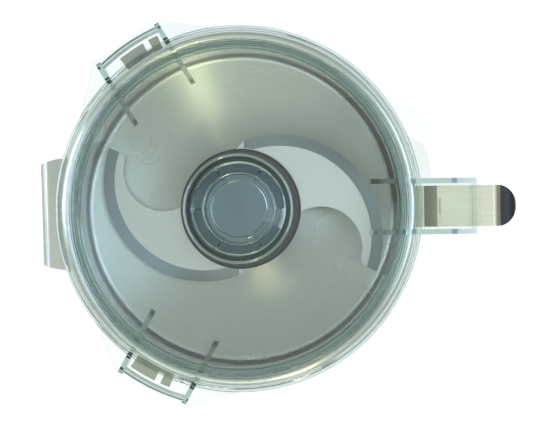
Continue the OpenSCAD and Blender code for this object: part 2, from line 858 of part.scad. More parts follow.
module speed_knob() {
    color([0.16, 0.17, 0.18]) on_panel(-knob_x, 0, panel_t + 2 * part_gap) {
        difference() {
            union() {
                cylinder(r = knob_r, h = knob_h - groove_r);
                translate([0, 0, knob_h - groove_r])
                    cylinder(r1 = knob_r, r2 = knob_r - groove_r, h = groove_r);
            }
            for (a = [0:360 / knob_grooves:359]) at_polar(knob_r + groove_r / 2, a, groove_r * 2)
                cylinder(r = groove_r, h = knob_h);
            translate([-groove_r / 2, knob_r / 2, knob_h - groove_r / 2])
                cube([groove_r, knob_r, groove_r]);
        }
        translate([0, 0, -panel_t - 2 * part_gap - pot_d / 2])
            cylinder(r = stem_r, h = panel_t + 2 * part_gap + pot_d / 2 + over);
    }
}

module cable_gland() {
    color([0.12, 0.12, 0.13]) translate([gland_x, base_w / 2, housing_z + gland_z]) rotate([-90, 0, 0])
        difference() {
            union() {
                cylinder(r = gland_collar_r, h = gland_out / 2, $fn = 6);
                cylinder(r = gland_collar_r * nose_share, h = gland_out);
                translate([0, 0, -base_wall - gland_out / 2]) cylinder(r = gland_r, h = gland_out);
            }
            translate([0, 0, -base_wall - gland_out]) cylinder(r = gland_bore, h = 3 * gland_out);
        }
}

module gland_nut() {
    color([0.12, 0.12, 0.13]) translate([gland_x, wall_in, housing_z + gland_z]) rotate([90, 0, 0])
        difference() {
            cylinder(r = gland_collar_r, h = gland_out / 3, $fn = 6);
            translate([0, 0, -over]) cylinder(r = gland_r + fit, h = gland_out);
        }
}

module vent_grille() {
    color([0.70, 0.71, 0.72]) translate([0, base_w / 2, housing_z + vent_z]) difference() {
        translate([-vent_w / 2, 0, -vent_h / 2]) cube([vent_w, vent_t, vent_h]);
        for (i = [0:vent_slots - 1])
            translate([0, 0, (i - (vent_slots - 1) / 2) * (vent_h - 2 * vent_lap) / vent_slots])
                cube([vent_w - 3 * vent_lap, 3 * vent_t, vent_slot_h], center = true);
        for (sx = [-1, 1], sz = [-1, 1])
            translate([sx * (vent_w - vent_lap) / 2, 0, sz * (vent_h - vent_lap) / 2])
                rotate([90, 0, 0]) cylinder(r = panel_screw_r + fit, h = 3 * vent_t, center = true);
    }
}

module vent_screws() {
    color([0.72, 0.73, 0.74]) for (sx = [-1, 1], sz = [-1, 1])
        translate([
            sx * (vent_w - vent_lap) / 2,
            base_w / 2 + vent_t,
            housing_z + vent_z + sz * (vent_h - vent_lap) / 2
        ]) rotate([-90, 0, 0]) screw(panel_screw_r, vent_t + base_wall + over);
}

// MOTOR

module motor_case() {
    color([0.55, 0.57, 0.60]) translate([0, 0, case_z]) tube(motor_r, motor_r - motor_wall, motor_l);
}

module stator_core() {
    color([0.45, 0.46, 0.48]) translate([0, 0, stator_z])
        tube(motor_r - motor_wall - fit, stator_r, stator_h);
}

module stator_windings() {
    color([0.72, 0.42, 0.20]) for (z = [stator_z - winding_h, stator_z + stator_h])
        translate([0, 0, z]) tube(winding_out, winding_in, winding_h);
}

// End shield with a bearing seat and holes for the motor bolts
module end_shield(t) {
    difference() {
        cylinder(r = shield_r, h = t);
        translate([0, 0, -over]) cylinder(r = bearing_r + fit, h = t + 2 * over);
        for (a = [45:90:315]) at_polar(motor_bolt_circle, a, -over)
            cylinder(r = motor_bolt_r + fit, h = t + 2 * over);
    }
}

module upper_end_shield() {
    color([0.66, 0.67, 0.69]) translate([0, 0, case_top]) end_shield(shield_top_t);
}

module lower_end_shield() {
    color([0.66, 0.67, 0.69]) translate([0, 0, shield_low_z]) end_shield(shield_low_t);
}

module motor_bolts() {
    color([0.72, 0.73, 0.74]) for (a = [45:90:315]) at_polar(motor_bolt_circle, a, shield_low_z)
        mirror([0, 0, 1]) screw(motor_bolt_r, deck_z + deck_t / 2 - shield_low_z);
}

module bearing(h) {
    difference() {
        tube(bearing_r, shaft_r + run, h);
        for (z = [-over, h - over]) translate([0, 0, z])
            tube(bearing_r * groove_out_share, bearing_r * groove_in_share, 2 * over);
    }
}

module upper_bearing() {
    color([0.82, 0.83, 0.84]) translate([0, 0, case_top]) bearing(shield_top_t);
}

module lower_bearing() {
    color([0.82, 0.83, 0.84]) translate([0, 0, shield_low_z]) bearing(shield_low_t);
}

module shaft_seal() {
    color([0.15, 0.15, 0.16]) translate([0, 0, deck_top]) tube(bearing_r, shaft_r + run, boss_h - over);
}

module rotor_core() {
    color([0.50, 0.51, 0.53]) translate([0, 0, stator_z]) tube(stator_r - air_gap, shaft_r + fit, stator_h);
}

// Shaft with two flats at its upper end
module drive_shaft() {
    color([0.78, 0.79, 0.80]) {
        translate([0, 0, shaft_z]) cylinder(r = shaft_r, h = shaft_top - flat_l - shaft_z);
        translate([0, 0, shaft_top - flat_l]) intersection() {
            cylinder(r = shaft_r, h = flat_l);
            translate([-shaft_r, -flat_half, 0]) cube([2 * shaft_r, 2 * flat_half, flat_l]);
        }
    }
}

module cooling_fan() {
    color([0.22, 0.23, 0.25]) translate([0, 0, fan_z]) difference() {
        union() {
            cylinder(r = fan_r, h = fan_disc_t);
            cylinder(r = shaft_r * fan_hub_share, h = fan_disc_t + fan_h);
            for (a = [0:360 / fan_vanes:359]) rotate([0, 0, a])
                translate([shaft_r + fit + over, -fan_disc_t / 2, 0])
                    cube([fan_r - shaft_r - fit - 2 * over, fan_disc_t, fan_disc_t + fan_h]);
        }
        translate([0, 0, -over]) cylinder(r = shaft_r + fit, h = fan_disc_t + fan_h + 2 * over);
    }
}

module run_capacitor() {
    color([0.70, 0.72, 0.74]) translate([cap_can_x, cap_can_y, housing_z])
        cylinder(r = cap_can_r, h = cap_can_h);
}

module capacitor_clip() {
    color([0.25, 0.26, 0.27]) translate([cap_can_x, cap_can_y, housing_z])
        tube(cap_can_r + plate_t * 2 / 3, cap_can_r + fit, cap_can_r);
}

module control_board() {
    board_face = -wall_in + standoff_l;
    color([0.10, 0.35, 0.22]) translate([board_face, 0, housing_z + board_z]) {
        translate([0, -board_w / 2, -board_h / 2]) cube([board_t, board_w, board_h]);
        translate([board_t, -board_w / 4, -board_h / 4]) cube([standoff_l, board_w / 4, board_h / 5]);
        translate([board_t, 0, board_h / 8]) cube([standoff_l, board_w / 3, board_h / 6]);
        translate([board_t, board_w / 5, -board_h / 4]) rotate([0, 90, 0])
            cylinder(r = standoff_l * 3 / 4, h = standoff_l);
    }
}

module board_standoffs() {
    color([0.78, 0.74, 0.55]) translate([-wall_in, 0, housing_z + board_z])
        for (sy = [-1, 1], sz = [-1, 1])
            translate([0, sy * (board_w / 2 - standoff_l), sz * (board_h / 2 - standoff_l)])
                rotate([0, 90, 0]) cylinder(r = standoff_l / 2, h = standoff_l, $fn = 6);
}

module reed_switch() {
    color([0.92, 0.92, 0.90])
        translate([wall_in - reed_l - base_wall, -reed_l / 4, ceiling_z - reed_l / 3])
            cube([reed_l, reed_l / 2, reed_l / 3]);
}

// BOWL

module bowl_shell() {
    color([0.78, 0.80, 0.80]) translate([0, 0, floor_z]) rotate_extrude() union() {
        translate([column_r + fit, -bowl_wall])
            square([bowl_r - bowl_fillet - column_r - fit, bowl_wall]);
        translate([bowl_r - bowl_fillet, bowl_fillet])
            quarter_ring(bowl_fillet, bowl_fillet + bowl_wall, 1, -1);
        translate([bowl_r, bowl_fillet])
            square([bowl_wall, bowl_depth - bowl_fillet - bead_r]);
        translate([bead_mid, bowl_depth - bead_r]) circle(r = bead_r);
    }
}

module bowl_column() {
    color([0.76, 0.78, 0.79]) translate([0, 0, floor_under - column_flange_t]) difference() {
        union() {
            cylinder(r = column_flange_r, h = column_flange_t);
            cylinder(r = column_r, h = column_top - floor_under + column_flange_t);
        }
        translate([0, 0, -over]) cylinder(r = column_bore, h = column_top - seat_z + 2 * over);
    }
}

module bowl_foot() {
    color([0.74, 0.75, 0.76]) translate([0, 0, seat_z]) difference() {
        tube(bowl_foot_r, bowl_foot_r - bowl_foot_w, bowl_foot_h);
        for (a = [60:360 / stud_count:419]) at_polar(stud_circle, a, -over)
            cylinder(r = stud_r + 2 * part_gap, h = stud_h + 2 * over);
    }
}

// One tab with its notch on the given side and the hole of its pin on the other
module lid_tab(side) {
    difference() {
        linear_extrude(tab_t) difference() {
            intersection() {
                circle(r = tab_r);
                polygon([[0, 0], polar(2 * tab_r, tab_span / 2), polar(2 * tab_r, -tab_span / 2)]);
            }
            circle(r = bowl_out + fit);
            rotate([0, 0, side * tab_span * notch_share])
                translate([tab_r - 2 * tab_notch, -tab_notch / 2]) square([4 * tab_notch, tab_notch]);
        }
        at_polar((bowl_out + tab_r) / 2, -side * tab_span * pin_share, -over)
            cylinder(r = tab_pin_r + fit, h = tab_t + 2 * over);
    }
}

// Copies at both ears' directions, with the side that faces the handle
module at_tabs(z) {
    for (i = [0, 1]) rotate([0, 0, tab_angle + i * ear_step]) translate([0, 0, z]) {
        $tab_side = i == 0 ? -1 : 1;
        children();
    }
}

module lid_tabs() {
    color([0.72, 0.73, 0.70]) at_tabs(rim_z - tab_drop - tab_t) lid_tab($tab_side);
}

module tab_pins() {
    color([0.80, 0.81, 0.80]) at_tabs(rim_z - tab_drop - tab_t)
        at_polar((bowl_out + tab_r) / 2, -$tab_side * tab_span * pin_share, 0)
            cylinder(r = tab_pin_r, h = tab_t + tab_pin_h);
}

// Rectangle from one corner to the other with its two corners on the right rounded
module half_round(x0, z0, x1, z1, r) {
    translate([x0, z0]) square([x1 - x0 - r, z1 - z0]);
    translate([x0, z0 + r]) square([x1 - x0, z1 - z0 - 2 * r]);
    for (z = [z0 + r, z1 - r]) translate([x1 - r, z]) circle(r = r);
}

// Loop of the strap: over the bend, down and back to the wall
module strap_loop() {
    inner_x = bowl_r - bowl_wall;
    difference() {
        half_round(inner_x, strap_foot, strap_reach, strap_high, bend_out);
        half_round(inner_x - over, strap_foot + strap_t, leg_in, strap_high - strap_t, strap_bend);
        translate([inner_x - over, strap_foot + bend_out])
            square([rise_end - inner_x + over, handle_h]);
    }
}

// Inner stretch of the strap: out from the wall under the lid's skirt, then up
module strap_rise() {
    polygon([
        [bowl_r - bowl_wall, strap_low],
        [strap_rise_x, strap_low],
        [rise_end, strap_high],
        [rise_end + strap_t, strap_high],
        [rise_end + strap_t, strap_high - strap_t],
        [rise_end, strap_high - strap_t],
        [strap_rise_x, strap_low - strap_t],
        [bowl_r - bowl_wall, strap_low - strap_t]
    ]);
}

module handle_strap() {
    color([0.82, 0.81, 0.74]) difference() {
        union() {
            along_y(strap_w) strap_loop();
            along_y(strap_w) strap_rise();
        }
        translate([0, 0, strap_foot - over]) cylinder(r = bowl_out + fit, h = handle_h + 2 * over);
        translate([slot_x - slot_w / 2, -slot_l / 2, strap_high - 2 * strap_t])
            cube([slot_w, slot_l, 4 * strap_t]);
        for (z = [grip_z + grip_screw_inset, grip_top - grip_screw_inset])
            translate([leg_in - over, 0, z]) rotate([0, 90, 0])
                cylinder(r = handle_screw_r + fit, h = strap_t + 2 * over);
    }
}

// Grip with a rounded face, seen from above as a segment of a circle on the strap
module handle_grip() {
    face_r = (strap_w * strap_w / 4 + grip_out * grip_out) / (2 * grip_out);
    color([0.14, 0.15, 0.16]) difference() {
        intersection() {
            translate([strap_reach + grip_out - face_r, 0, grip_z]) cylinder(r = face_r, h = grip_l);
            along_y(strap_w) union() {
                translate([strap_reach, grip_z]) square([grip_out - grip_corner, grip_l]);
                translate([strap_reach, grip_z + grip_corner])
                    square([grip_out, grip_l - 2 * grip_corner]);
                for (z = [grip_z + grip_corner, grip_top - grip_corner])
                    translate([strap_reach + grip_out - grip_corner, z]) intersection() {
                        circle(r = grip_corner);
                        translate([0, -grip_corner]) square([grip_corner, 2 * grip_corner]);
                    }
            }
        }
        for (z = [grip_z + grip_screw_inset, grip_top - grip_screw_inset])
            translate([strap_reach - over, 0, z]) rotate([0, 90, 0])
                cylinder(r = handle_screw_r + fit, h = grip_out / 2 + over);
        translate([strap_reach - over, 0, grip_z + grip_l / 2]) rotate([0, 90, 0])
            cylinder(r = magnet_r + fit, h = magnet_l + over);
    }
}

module handle_screws() {
    color([0.76, 0.77, 0.78]) for (z = [grip_z + grip_screw_inset, grip_top - grip_screw_inset])
        translate([leg_in, 0, z]) rotate([0, -90, 0])
            screw(handle_screw_r, strap_t + grip_out / 2 - over);
}

module handle_magnet() {
    color([0.30, 0.31, 0.33]) translate([strap_reach, 0, grip_z + grip_l / 2]) rotate([0, 90, 0])
        cylinder(r = magnet_r, h = magnet_l);
}

// Wide grip at the back: a sheet out from the wall with its edge turned down
module rear_grip() {
    top = rim_z - rear_drop;
    bend = rear_bend + rear_t;
    color([0.74, 0.76, 0.73]) rotate([0, 0, rear_angle]) difference() {
        intersection() {
            along_y(2 * rear_half_w) union() {
                translate([bowl_r - bowl_wall, top - rear_t])
                    square([rear_reach - bend - bowl_r + bowl_wall, rear_t]);
                translate([rear_reach - bend, top - bend]) quarter_ring(rear_bend, bend, 1, 1);
                translate([rear_reach - rear_t, top - bend - rear_lip_h]) square([rear_t, rear_lip_h]);
            }
            translate([0, 0, top - bend - rear_lip_h - over]) linear_extrude(bend + rear_lip_h + 2 * over)
                union() {
                    translate([0, -rear_half_w]) square([rear_round_x, 2 * rear_half_w]);
                    translate([rear_round_x, 0]) circle(r = rear_half_w);
                }
        }
        translate([0, 0, top - bend - rear_lip_h - 2 * over])
            cylinder(r = bowl_out + fit, h = bend + rear_lip_h + 4 * over);
    }
}

// CUTTER

// Outline of one blade about the drive axis, its tip trailing clockwise from the root
module blade_outline() {
    reach = edge_x + edge_r;
    intersection() {
        difference() {
            translate([edge_x, -edge_y]) circle(r = edge_r);
            translate([hollow_x, -hollow_y]) circle(r = hollow_r);
        }
        polygon([
            eye_r * eye_shares[0],
            eye_r * eye_shares[1],
            flange_r * shoulder_shares[0],
            flange_r * shoulder_shares[1],
            [reach, 0] + edge_r * outer_shares[0],
            [reach, 0] + edge_r * outer_shares[1],
            reach * tip_shares[0],
            reach * tip_shares[1],
            reach * tip_shares[2],
            [hollow_x, -hollow_y],
            [hollow_x, -hollow_y] + hollow_r * throat_shares,
            eye_r * eye_shares[2]
        ]);
    }
    circle(r = eye_r);
}

// Blade with its bevel ground on the upper face and the eye left full
module blade() {
    difference() {
        linear_extrude(blade_t) blade_outline();
        difference() {
            translate([edge_x, -edge_y, 0]) rotate_extrude() polygon([
                [edge_r - bevel_w, blade_t],
                [edge_r - bevel_w, blade_t + over],
                [edge_r + bevel_w, blade_t + over],
                [edge_r + bevel_w, edge_t],
                [edge_r, edge_t]
            ]);
            translate([0, 0, -over]) cylinder(r = flange_r + over, h = blade_t + 3 * over);
            translate([-edge_r, 0, -over]) cube([edge_r + bevel_w / 3, edge_r, blade_t + 3 * over]);
        }
        translate([0, 0, -over]) cylinder(r = hub_r + fit, h = blade_t + 2 * over);
        tie_holes(-over, blade_t + 2 * over);
    }
}

module blade_upper() {
    color([0.75, 0.79, 0.81]) translate([0, 0, high_blade_z]) blade();
}

module blade_lower() {
    color([0.75, 0.79, 0.81]) translate([0, 0, low_blade_z]) rotate([0, 0, 180]) blade();
}

module tie_holes(z, h) {
    for (a = [0:60:300]) at_polar(tie_r, a, z) cylinder(r = tie_screw_r + fit, h = h);
}

module blade_spacer() {
    color([0.24, 0.27, 0.30]) translate([0, 0, spacer_z]) difference() {
        tube(hub_base_r, hub_r + fit, spacer_h);
        tie_holes(-over, spacer_h + 2 * over);
    }
}

module hub_flange() {
    color([0.24, 0.27, 0.30]) translate([0, 0, flange_z]) difference() {
        union() {
            cylinder(r = flange_r, h = flange_t - flange_chamfer);
            translate([0, 0, flange_t - flange_chamfer])
                cylinder(r1 = flange_r, r2 = flange_r - flange_chamfer, h = flange_chamfer);
        }
        translate([0, 0, -over]) cylinder(r = hub_r + fit, h = flange_t + 2 * over);
        tie_holes(-over, flange_t + 2 * over);
    }
}

// Sleeve over the column, with a shoulder and a seat for the drive bush
module hub_core() {
    color([0.70, 0.72, 0.73]) difference() {
        union() {
            translate([0, 0, hub_z]) cylinder(r = hub_base_r, h = hub_base_t);
            translate([0, 0, hub_z]) cylinder(r = hub_r, h = hub_top - hub_z);
        }
        translate([0, 0, hub_z - over]) cylinder(r = hub_bore, h = bush_z - hub_z + over);
        translate([0, 0, bush_z - over]) cylinder(r = bush_r + fit, h = flat_l + part_gap + 2 * over);
        tie_holes(hub_z - over, hub_base_t + 2 * over);
    }
}

module drive_bush() {
    color([0.66, 0.58, 0.38]) translate([0, 0, bush_z]) difference() {
        cylinder(r = bush_r, h = flat_l);
        intersection() {
            translate([0, 0, -over]) cylinder(r = shaft_r + part_gap, h = flat_l + 2 * over);
            translate([-2 * shaft_r, -flat_half - part_gap, -over])
                cube([4 * shaft_r, 2 * (flat_half + part_gap), flat_l + 2 * over]);
        }
    }
}

module hub_cap() {
    color([0.24, 0.27, 0.30]) difference() {
        translate([0, 0, cap_z]) union() {
            cylinder(r = cap_foot_r, h = cap_foot_h);
            translate([0, 0, cap_foot_h])
                cylinder(r1 = cap_foot_r, r2 = cap_top_r, h = cap_h - cap_foot_h);
        }
        translate([0, 0, cap_z - over]) cylinder(r = hub_r + fit, h = hub_top - cap_z + over);
        translate([0, 0, cap_top_z - dimple_d]) cylinder(r = dimple_r, h = dimple_d + over);
        tie_holes(cap_z - over, cap_h / 2);
    }
}

module hub_screws() {
    color([0.76, 0.77, 0.78]) for (a = [0:120:240]) at_polar(tie_r, a, hub_z + hub_base_t)
        translate([0, 0, -hub_base_t / 2]) cylinder(r = tie_screw_r, h = cap_z + cap_h / 3 - hub_z);
}

// LID

module lid_profile() {
    plate_out = skirt_out - lid_t;
    // Plate, rounded shoulder and outer skirt
    translate([chimney_r, 0]) square([plate_out - chimney_r, lid_t]);
    translate([plate_out, 0]) intersection() {
        circle(r = lid_t);
        square(lid_t);
    }
    translate([skirt_in, -skirt_h]) square([skirt_t, skirt_h + over / 2]);
    // Inner skirt and the raised ring over it
    translate([inner_skirt_r - inner_skirt_t, -inner_skirt_h])
        square([inner_skirt_t, inner_skirt_h + lid_t + lid_ring_h]);
    for (i = [1:fine_ribs]) translate([inner_skirt_r + i * fine_rib_gap, lid_t]) circle(r = fine_rib_r);
    // Chimney with its foot and its lip
    translate([chimney_r, 0]) square([chimney_wall, chimney_h]);
    translate([chimney_r, 0]) square([chimney_wall + chimney_foot, lid_t + chimney_foot_h]);
    translate([chimney_r, chimney_h - chimney_lip_h])
        square([chimney_wall + chimney_lip - chimney_lip_h / 2, chimney_lip_h]);
    translate([chimney_r + chimney_wall + chimney_lip - chimney_lip_h / 2, chimney_h - chimney_lip_h / 2])
        circle(r = chimney_lip_h / 2);
    // Funnel and the collar of its throat
    polygon([
        [chimney_r + over, funnel_top],
        [throat_mid, -funnel_foot],
        [throat_mid, -funnel_foot - lid_t],
        [chimney_r + over, funnel_top - lid_t]
    ]);
    translate([funnel_bead_at, funnel_top - funnel_slope * (chimney_r - funnel_bead_at)])
        circle(r = funnel_bead_r);
    translate([throat_r, -throat_drop]) square([throat_wall, throat_h - throat_wall / 2]);
    translate([throat_mid, -throat_drop + throat_h - throat_wall / 2])
        circle(r = throat_wall / 2);
}

// Clear flange, outer wall and two ribs of one ear, drawn about +X
module lid_ear() {
    root_r = skirt_out - skirt_t / 2;
    rib_in = sqrt(root_r * root_r - ear_rib_gap * ear_rib_gap / 4);
    wall_angle = asin(ear_rib_gap / 2 / ear_wall_r);
    difference() {
        union() {
            linear_extrude(ear_t) polygon([
                polar(root_r, -ear_root_angle),
                polar(ear_corner_r - lid_t / 2, -ear_corner_angle - 1),
                polar(ear_corner_r, -ear_corner_angle + 1),
                polar(ear_corner_r, ear_corner_angle - 1),
                polar(ear_corner_r - lid_t / 2, ear_corner_angle + 1),
                polar(root_r, ear_root_angle)
            ]);
            translate([0, 0, -ear_wall_h]) linear_extrude(ear_wall_h + lid_t) intersection() {
                difference() {
                    circle(r = ear_wall_r + ear_wall_t / 2);
                    circle(r = ear_wall_r - ear_wall_t / 2);
                }
                polygon([[0, 0], polar(2 * ear_wall_r, -wall_angle), polar(2 * ear_wall_r, wall_angle)]);
            }
        }
        translate([0, 0, -over]) cylinder(r = root_r, h = ear_t + 2 * over);
    }
    for (side = [-1, 1]) translate([rib_in, side * ear_rib_gap / 2, 0]) rotate([0, 0, -rib_skew])
        translate([-rib_in, 0, 0]) along_y(rib_t) polygon([
            [rib_start, lid_t / 2],
            [rib_start, lid_t + rib_start_h],
            [skirt_in, lid_t + rib_h],
            [ear_wall_r - ear_wall_t, lid_t + rib_h],
            [ear_wall_r, lid_t + rib_h - rib_t],
            [ear_wall_r, -ear_wall_h + rib_t],
            [ear_wall_r - ear_wall_t, -ear_wall_h],
            [skirt_out + part_gap, -ear_wall_h],
            [rib_in, -skirt_h + over],
            [rib_in, lid_t / 2]
        ]);
}

// Clear hood whose two sides straddle the handle's strap
module lid_hood() {
    hood_root = sqrt(pow(skirt_out - skirt_t / 2, 2) - pow(hood_in + rib_t / 2, 2));
    for (side = [-1, 1]) translate([0, side * (hood_in + rib_t / 2), 0]) along_y(rib_t) polygon([
        [hood_start, lid_t / 2],
        [hood_start, lid_t + rib_start_h],
        [skirt_in, lid_t + rib_h],
        [hood_slope_x, lid_t + rib_h],
        [hood_reach, lid_t + hood_end_h],
        [hood_reach, -hood_drop],
        [hood_root, -hood_drop],
        [hood_root, lid_t / 2]
    ]);
    // Roof between the sides, then the end wall and its lip
    along_y(2 * hood_in + rib_t) polygon([
        [hood_root - lid_t, 0],
        [hood_root - lid_t, lid_t],
        [hood_reach, lid_t],
        [hood_reach, -hood_end_drop],
        [hood_reach - hood_end_t, -hood_end_drop],
        [hood_reach - hood_end_t, 0]
    ]);
    translate([hood_reach - hood_end_t, 0, -hood_end_drop]) linear_extrude(hood_lip_t) union() {
        translate([0, -hood_in]) square([hood_end_t, 2 * hood_in]);
        translate([0, -hood_in + hood_lip]) square([hood_end_t + hood_lip, 2 * (hood_in - hood_lip)]);
        for (side = [-1, 1]) translate([hood_end_t, side * (hood_in - hood_lip)]) circle(r = hood_lip);
    }
    // Lug beside the hood
    linear_extrude(ear_t) difference() {
        intersection() {
            circle(r = lug_r);
            polygon([
                [0, 0], polar(2 * lug_r, lug_from), polar(lug_r / cos(lug_corner - lug_from), lug_corner),
                polar(skirt_out - skirt_t / 2, lug_to)
            ]);
        }
        circle(r = skirt_out - skirt_t / 2);
    }
}

module lid_shell() {
    color([0.80, 0.92, 0.90, 0.35]) translate([0, 0, lid_z]) {
        rotate_extrude() lid_profile();
        for (i = [0:web_count - 1]) rotate([0, 0, i * 360 / web_count]) along_y(web_t) polygon([
            [throat_mid, -funnel_foot - lid_t / 2],
            [chimney_r + chimney_wall / 2, funnel_top - lid_t / 2],
            [chimney_r + chimney_wall / 2, lid_t / 2],
            [throat_mid, -throat_drop + lid_t]
        ]);
        for (i = [0, 1]) rotate([0, 0, ear_angle + i * ear_step]) lid_ear();
        lid_hood();
    }
}

// Seal round the inner skirt with three lips towards the bowl
module lid_seal() {
    lip_out = bowl_r - seal_gap;
    seal_in = inner_skirt_r + fit;
    color([0.60, 0.68, 0.66]) translate([0, 0, lid_z - inner_skirt_h + (inner_skirt_h - seal_h) / 2])
        rotate_extrude() union() {
            translate([seal_in, 0]) square([seal_t, seal_h]);
            for (i = [0:2]) translate([seal_in + seal_t, i * seal_h / 3]) polygon([
                [-over, seal_lip_t / 4],
                [lip_out - seal_in - seal_t, seal_lip_t * 3 / 4],
                [lip_out - seal_in - seal_t, seal_lip_t],
                [-over, seal_lip_t * 5 / 4]
            ]);
        }
}

base_housing();
base_plate();
rubber_feet();
foot_screws();
top_deck();
locating_studs();
deck_screws();
control_panel();
panel_screws();
switch_blocks();
speed_pot();
cable_gland();
gland_nut();
vent_grille();
vent_screws();
motor_case();
stator_core();
stator_windings();
upper_end_shield();
lower_end_shield();
motor_bolts();
upper_bearing();
lower_bearing();
shaft_seal();
run_capacitor();
capacitor_clip();
control_board();
board_standoffs();
reed_switch();
rotor_core();
drive_shaft();
cooling_fan();
bowl_shell();
bowl_column();
bowl_foot();
lid_tabs();
tab_pins();
handle_strap();
handle_grip();
handle_screws();
handle_magnet();
rear_grip();
hub_core();
hub_cap();
hub_flange();
blade_upper();
blade_lower();
blade_spacer();
drive_bush();
hub_screws();
lid_shell();
lid_seal();
start_button();
stop_button();
pulse_button();
speed_knob();
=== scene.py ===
# %% [markdown]
# # A table-top vertical cutter mixer
#
# The machine chops food in a steel bowl. A motor in the base turns two sickle blades,
# and a clear lid closes the bowl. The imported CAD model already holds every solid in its
# true place, in metres. This lesson gives each one the finish of its real material, adds the
# small pieces that only the picture needs, and sets up the studio and the camera.
#
# The frame is loaded first. Its nodes are never moved or reshaped: they only get new materials.

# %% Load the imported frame
import json
import math

import bpy
from mathutils import Matrix, Vector
from mathutils.bvhtree import BVHTree


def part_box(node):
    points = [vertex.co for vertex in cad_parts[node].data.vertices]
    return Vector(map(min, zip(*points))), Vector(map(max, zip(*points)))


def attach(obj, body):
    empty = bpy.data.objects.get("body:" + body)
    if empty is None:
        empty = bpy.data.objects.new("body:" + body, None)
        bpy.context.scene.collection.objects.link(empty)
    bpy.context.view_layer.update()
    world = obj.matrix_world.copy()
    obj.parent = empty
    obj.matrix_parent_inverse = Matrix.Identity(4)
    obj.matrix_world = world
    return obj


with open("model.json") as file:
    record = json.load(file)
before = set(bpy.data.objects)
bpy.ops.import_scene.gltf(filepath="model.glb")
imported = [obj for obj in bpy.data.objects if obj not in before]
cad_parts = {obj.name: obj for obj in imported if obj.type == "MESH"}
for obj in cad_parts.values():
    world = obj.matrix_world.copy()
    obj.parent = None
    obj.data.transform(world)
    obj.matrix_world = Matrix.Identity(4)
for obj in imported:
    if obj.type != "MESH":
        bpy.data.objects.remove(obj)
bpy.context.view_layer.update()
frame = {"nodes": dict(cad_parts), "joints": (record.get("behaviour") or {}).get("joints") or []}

NODES = frame["nodes"]
print("nodes in the frame:", len(NODES))

# %% [markdown]
# ## Helpers for colours and shader nodes
#
# Colours are chosen on a screen, so they are written as sRGB hex values. Shaders work in
# linear light, and one function does the conversion.
#
# A material is a small graph. Making each node by hand takes four or five lines, so one
# function adds a node, sets its options and feeds its sockets, whatever the kind of node.

# %% Colour and node helpers
def colour(hex_code):
    """Linear RGBA of an sRGB hex colour."""
    parts = [int(hex_code[i:i + 2], 16) / 255 for i in (1, 3, 5)]
    linear = [c / 12.92 if c <= 0.04045 else ((c + 0.055) / 1.055) ** 2.4 for c in parts]
    return (*linear, 1.0)


def add_node(tree, kind, feeds=None, **settings):
    """A new node with its settings, and each fed socket linked or given a value."""
    node = tree.nodes.new(kind)
    for name, value in settings.items():
        setattr(node, name, value)
    for socket, source in (feeds or {}).items():
        if isinstance(source, bpy.types.NodeSocket):
            tree.links.new(source, node.inputs[socket])
        else:
            node.inputs[socket].default_value = source
    return node


def new_finish(name):
    """An empty material and its node tree."""
    material = bpy.data.materials.new(name)
    material.use_nodes = True
    material.node_tree.nodes.clear()
    return material, material.node_tree


def dress(material, *names):
    """Gives CAD nodes a finish in all their material slots."""
    for name in names:
        mesh = NODES[name].data
        for index in range(max(1, len(mesh.materials))):
            if index < len(mesh.materials):
                mesh.materials[index] = material
            else:
                mesh.materials.append(material)
    print(material.name, "on", len(names), "nodes")


# %% [markdown]
# ## The camera
#
# The photograph was taken from straight above, about 1.75 m over the rim, with a long lens.
# The bowl's floor looks smaller than its rim, and that gives the camera's height. The bowl
# sits left of the middle of the picture, so the camera stands a little to its right.

# %% Camera straight above the bowl
IMAGE_W = 552
FOCAL_PX = 2430
SENSOR_MM = 36
CAMERA_PLACE = (0.0265, -0.0020, 2.149)
CAMERA_ROLL = math.radians(-0.75)

camera_data = bpy.data.cameras.new("overhead_camera")
camera_data.sensor_width = SENSOR_MM
camera_data.lens = SENSOR_MM * FOCAL_PX / IMAGE_W
camera_data.clip_end = 50
camera = bpy.data.objects.new("overhead_camera", camera_data)
camera.location = CAMERA_PLACE
camera.rotation_euler = (0, 0, CAMERA_ROLL)
bpy.context.scene.collection.objects.link(camera)
bpy.context.scene.camera = camera
print("lens in mm:", round(camera_data.lens, 1))

# %% [markdown]
# ## Brushed and turned steel
#
# Most of the machine is stainless steel, grade 304, rolled and then brushed with abrasive belts
# or turned in a lathe. The scratches all run one way, so the metal shows fine parallel lines and a
# highlight that stretches across them. Noise that is squeezed along one direction
# draws such lines. Real scratches are about 0.1 mm apart, too fine for the picture,
# so they are drawn about 0.6 mm apart.
#
# On sheet metal the lines are straight. On the bowl they run in rings, because it spins against the
# belt. The ring version reads the distance from the drive axis instead of X and Y, with
# four-dimensional noise, so that no seam shows where the angle starts again.

# %% Steel finishes
SCRATCH_M = 0.0006
SCRATCH_DEPTH_M = 0.00002
SCRATCH_STRENGTH = 0.35
# Scratches in rings are drawn this many times longer than straight ones
RING_LENGTHENING = 8
# Brightness of the scratches' tops and bottoms against the tint
SCRATCH_PALE, SCRATCH_DEEP = 1.12, 0.86
# Wear makes soft patches, so many per metre, that are glossier or duller than the rest
WEAR_PER_M = 14.0
WEAR_GLOSSIER, WEAR_DULLER = 0.05, 0.07
# A quarter turn lays the stretched highlight across rings that run round the Z axis
ACROSS_RINGS = 0.25


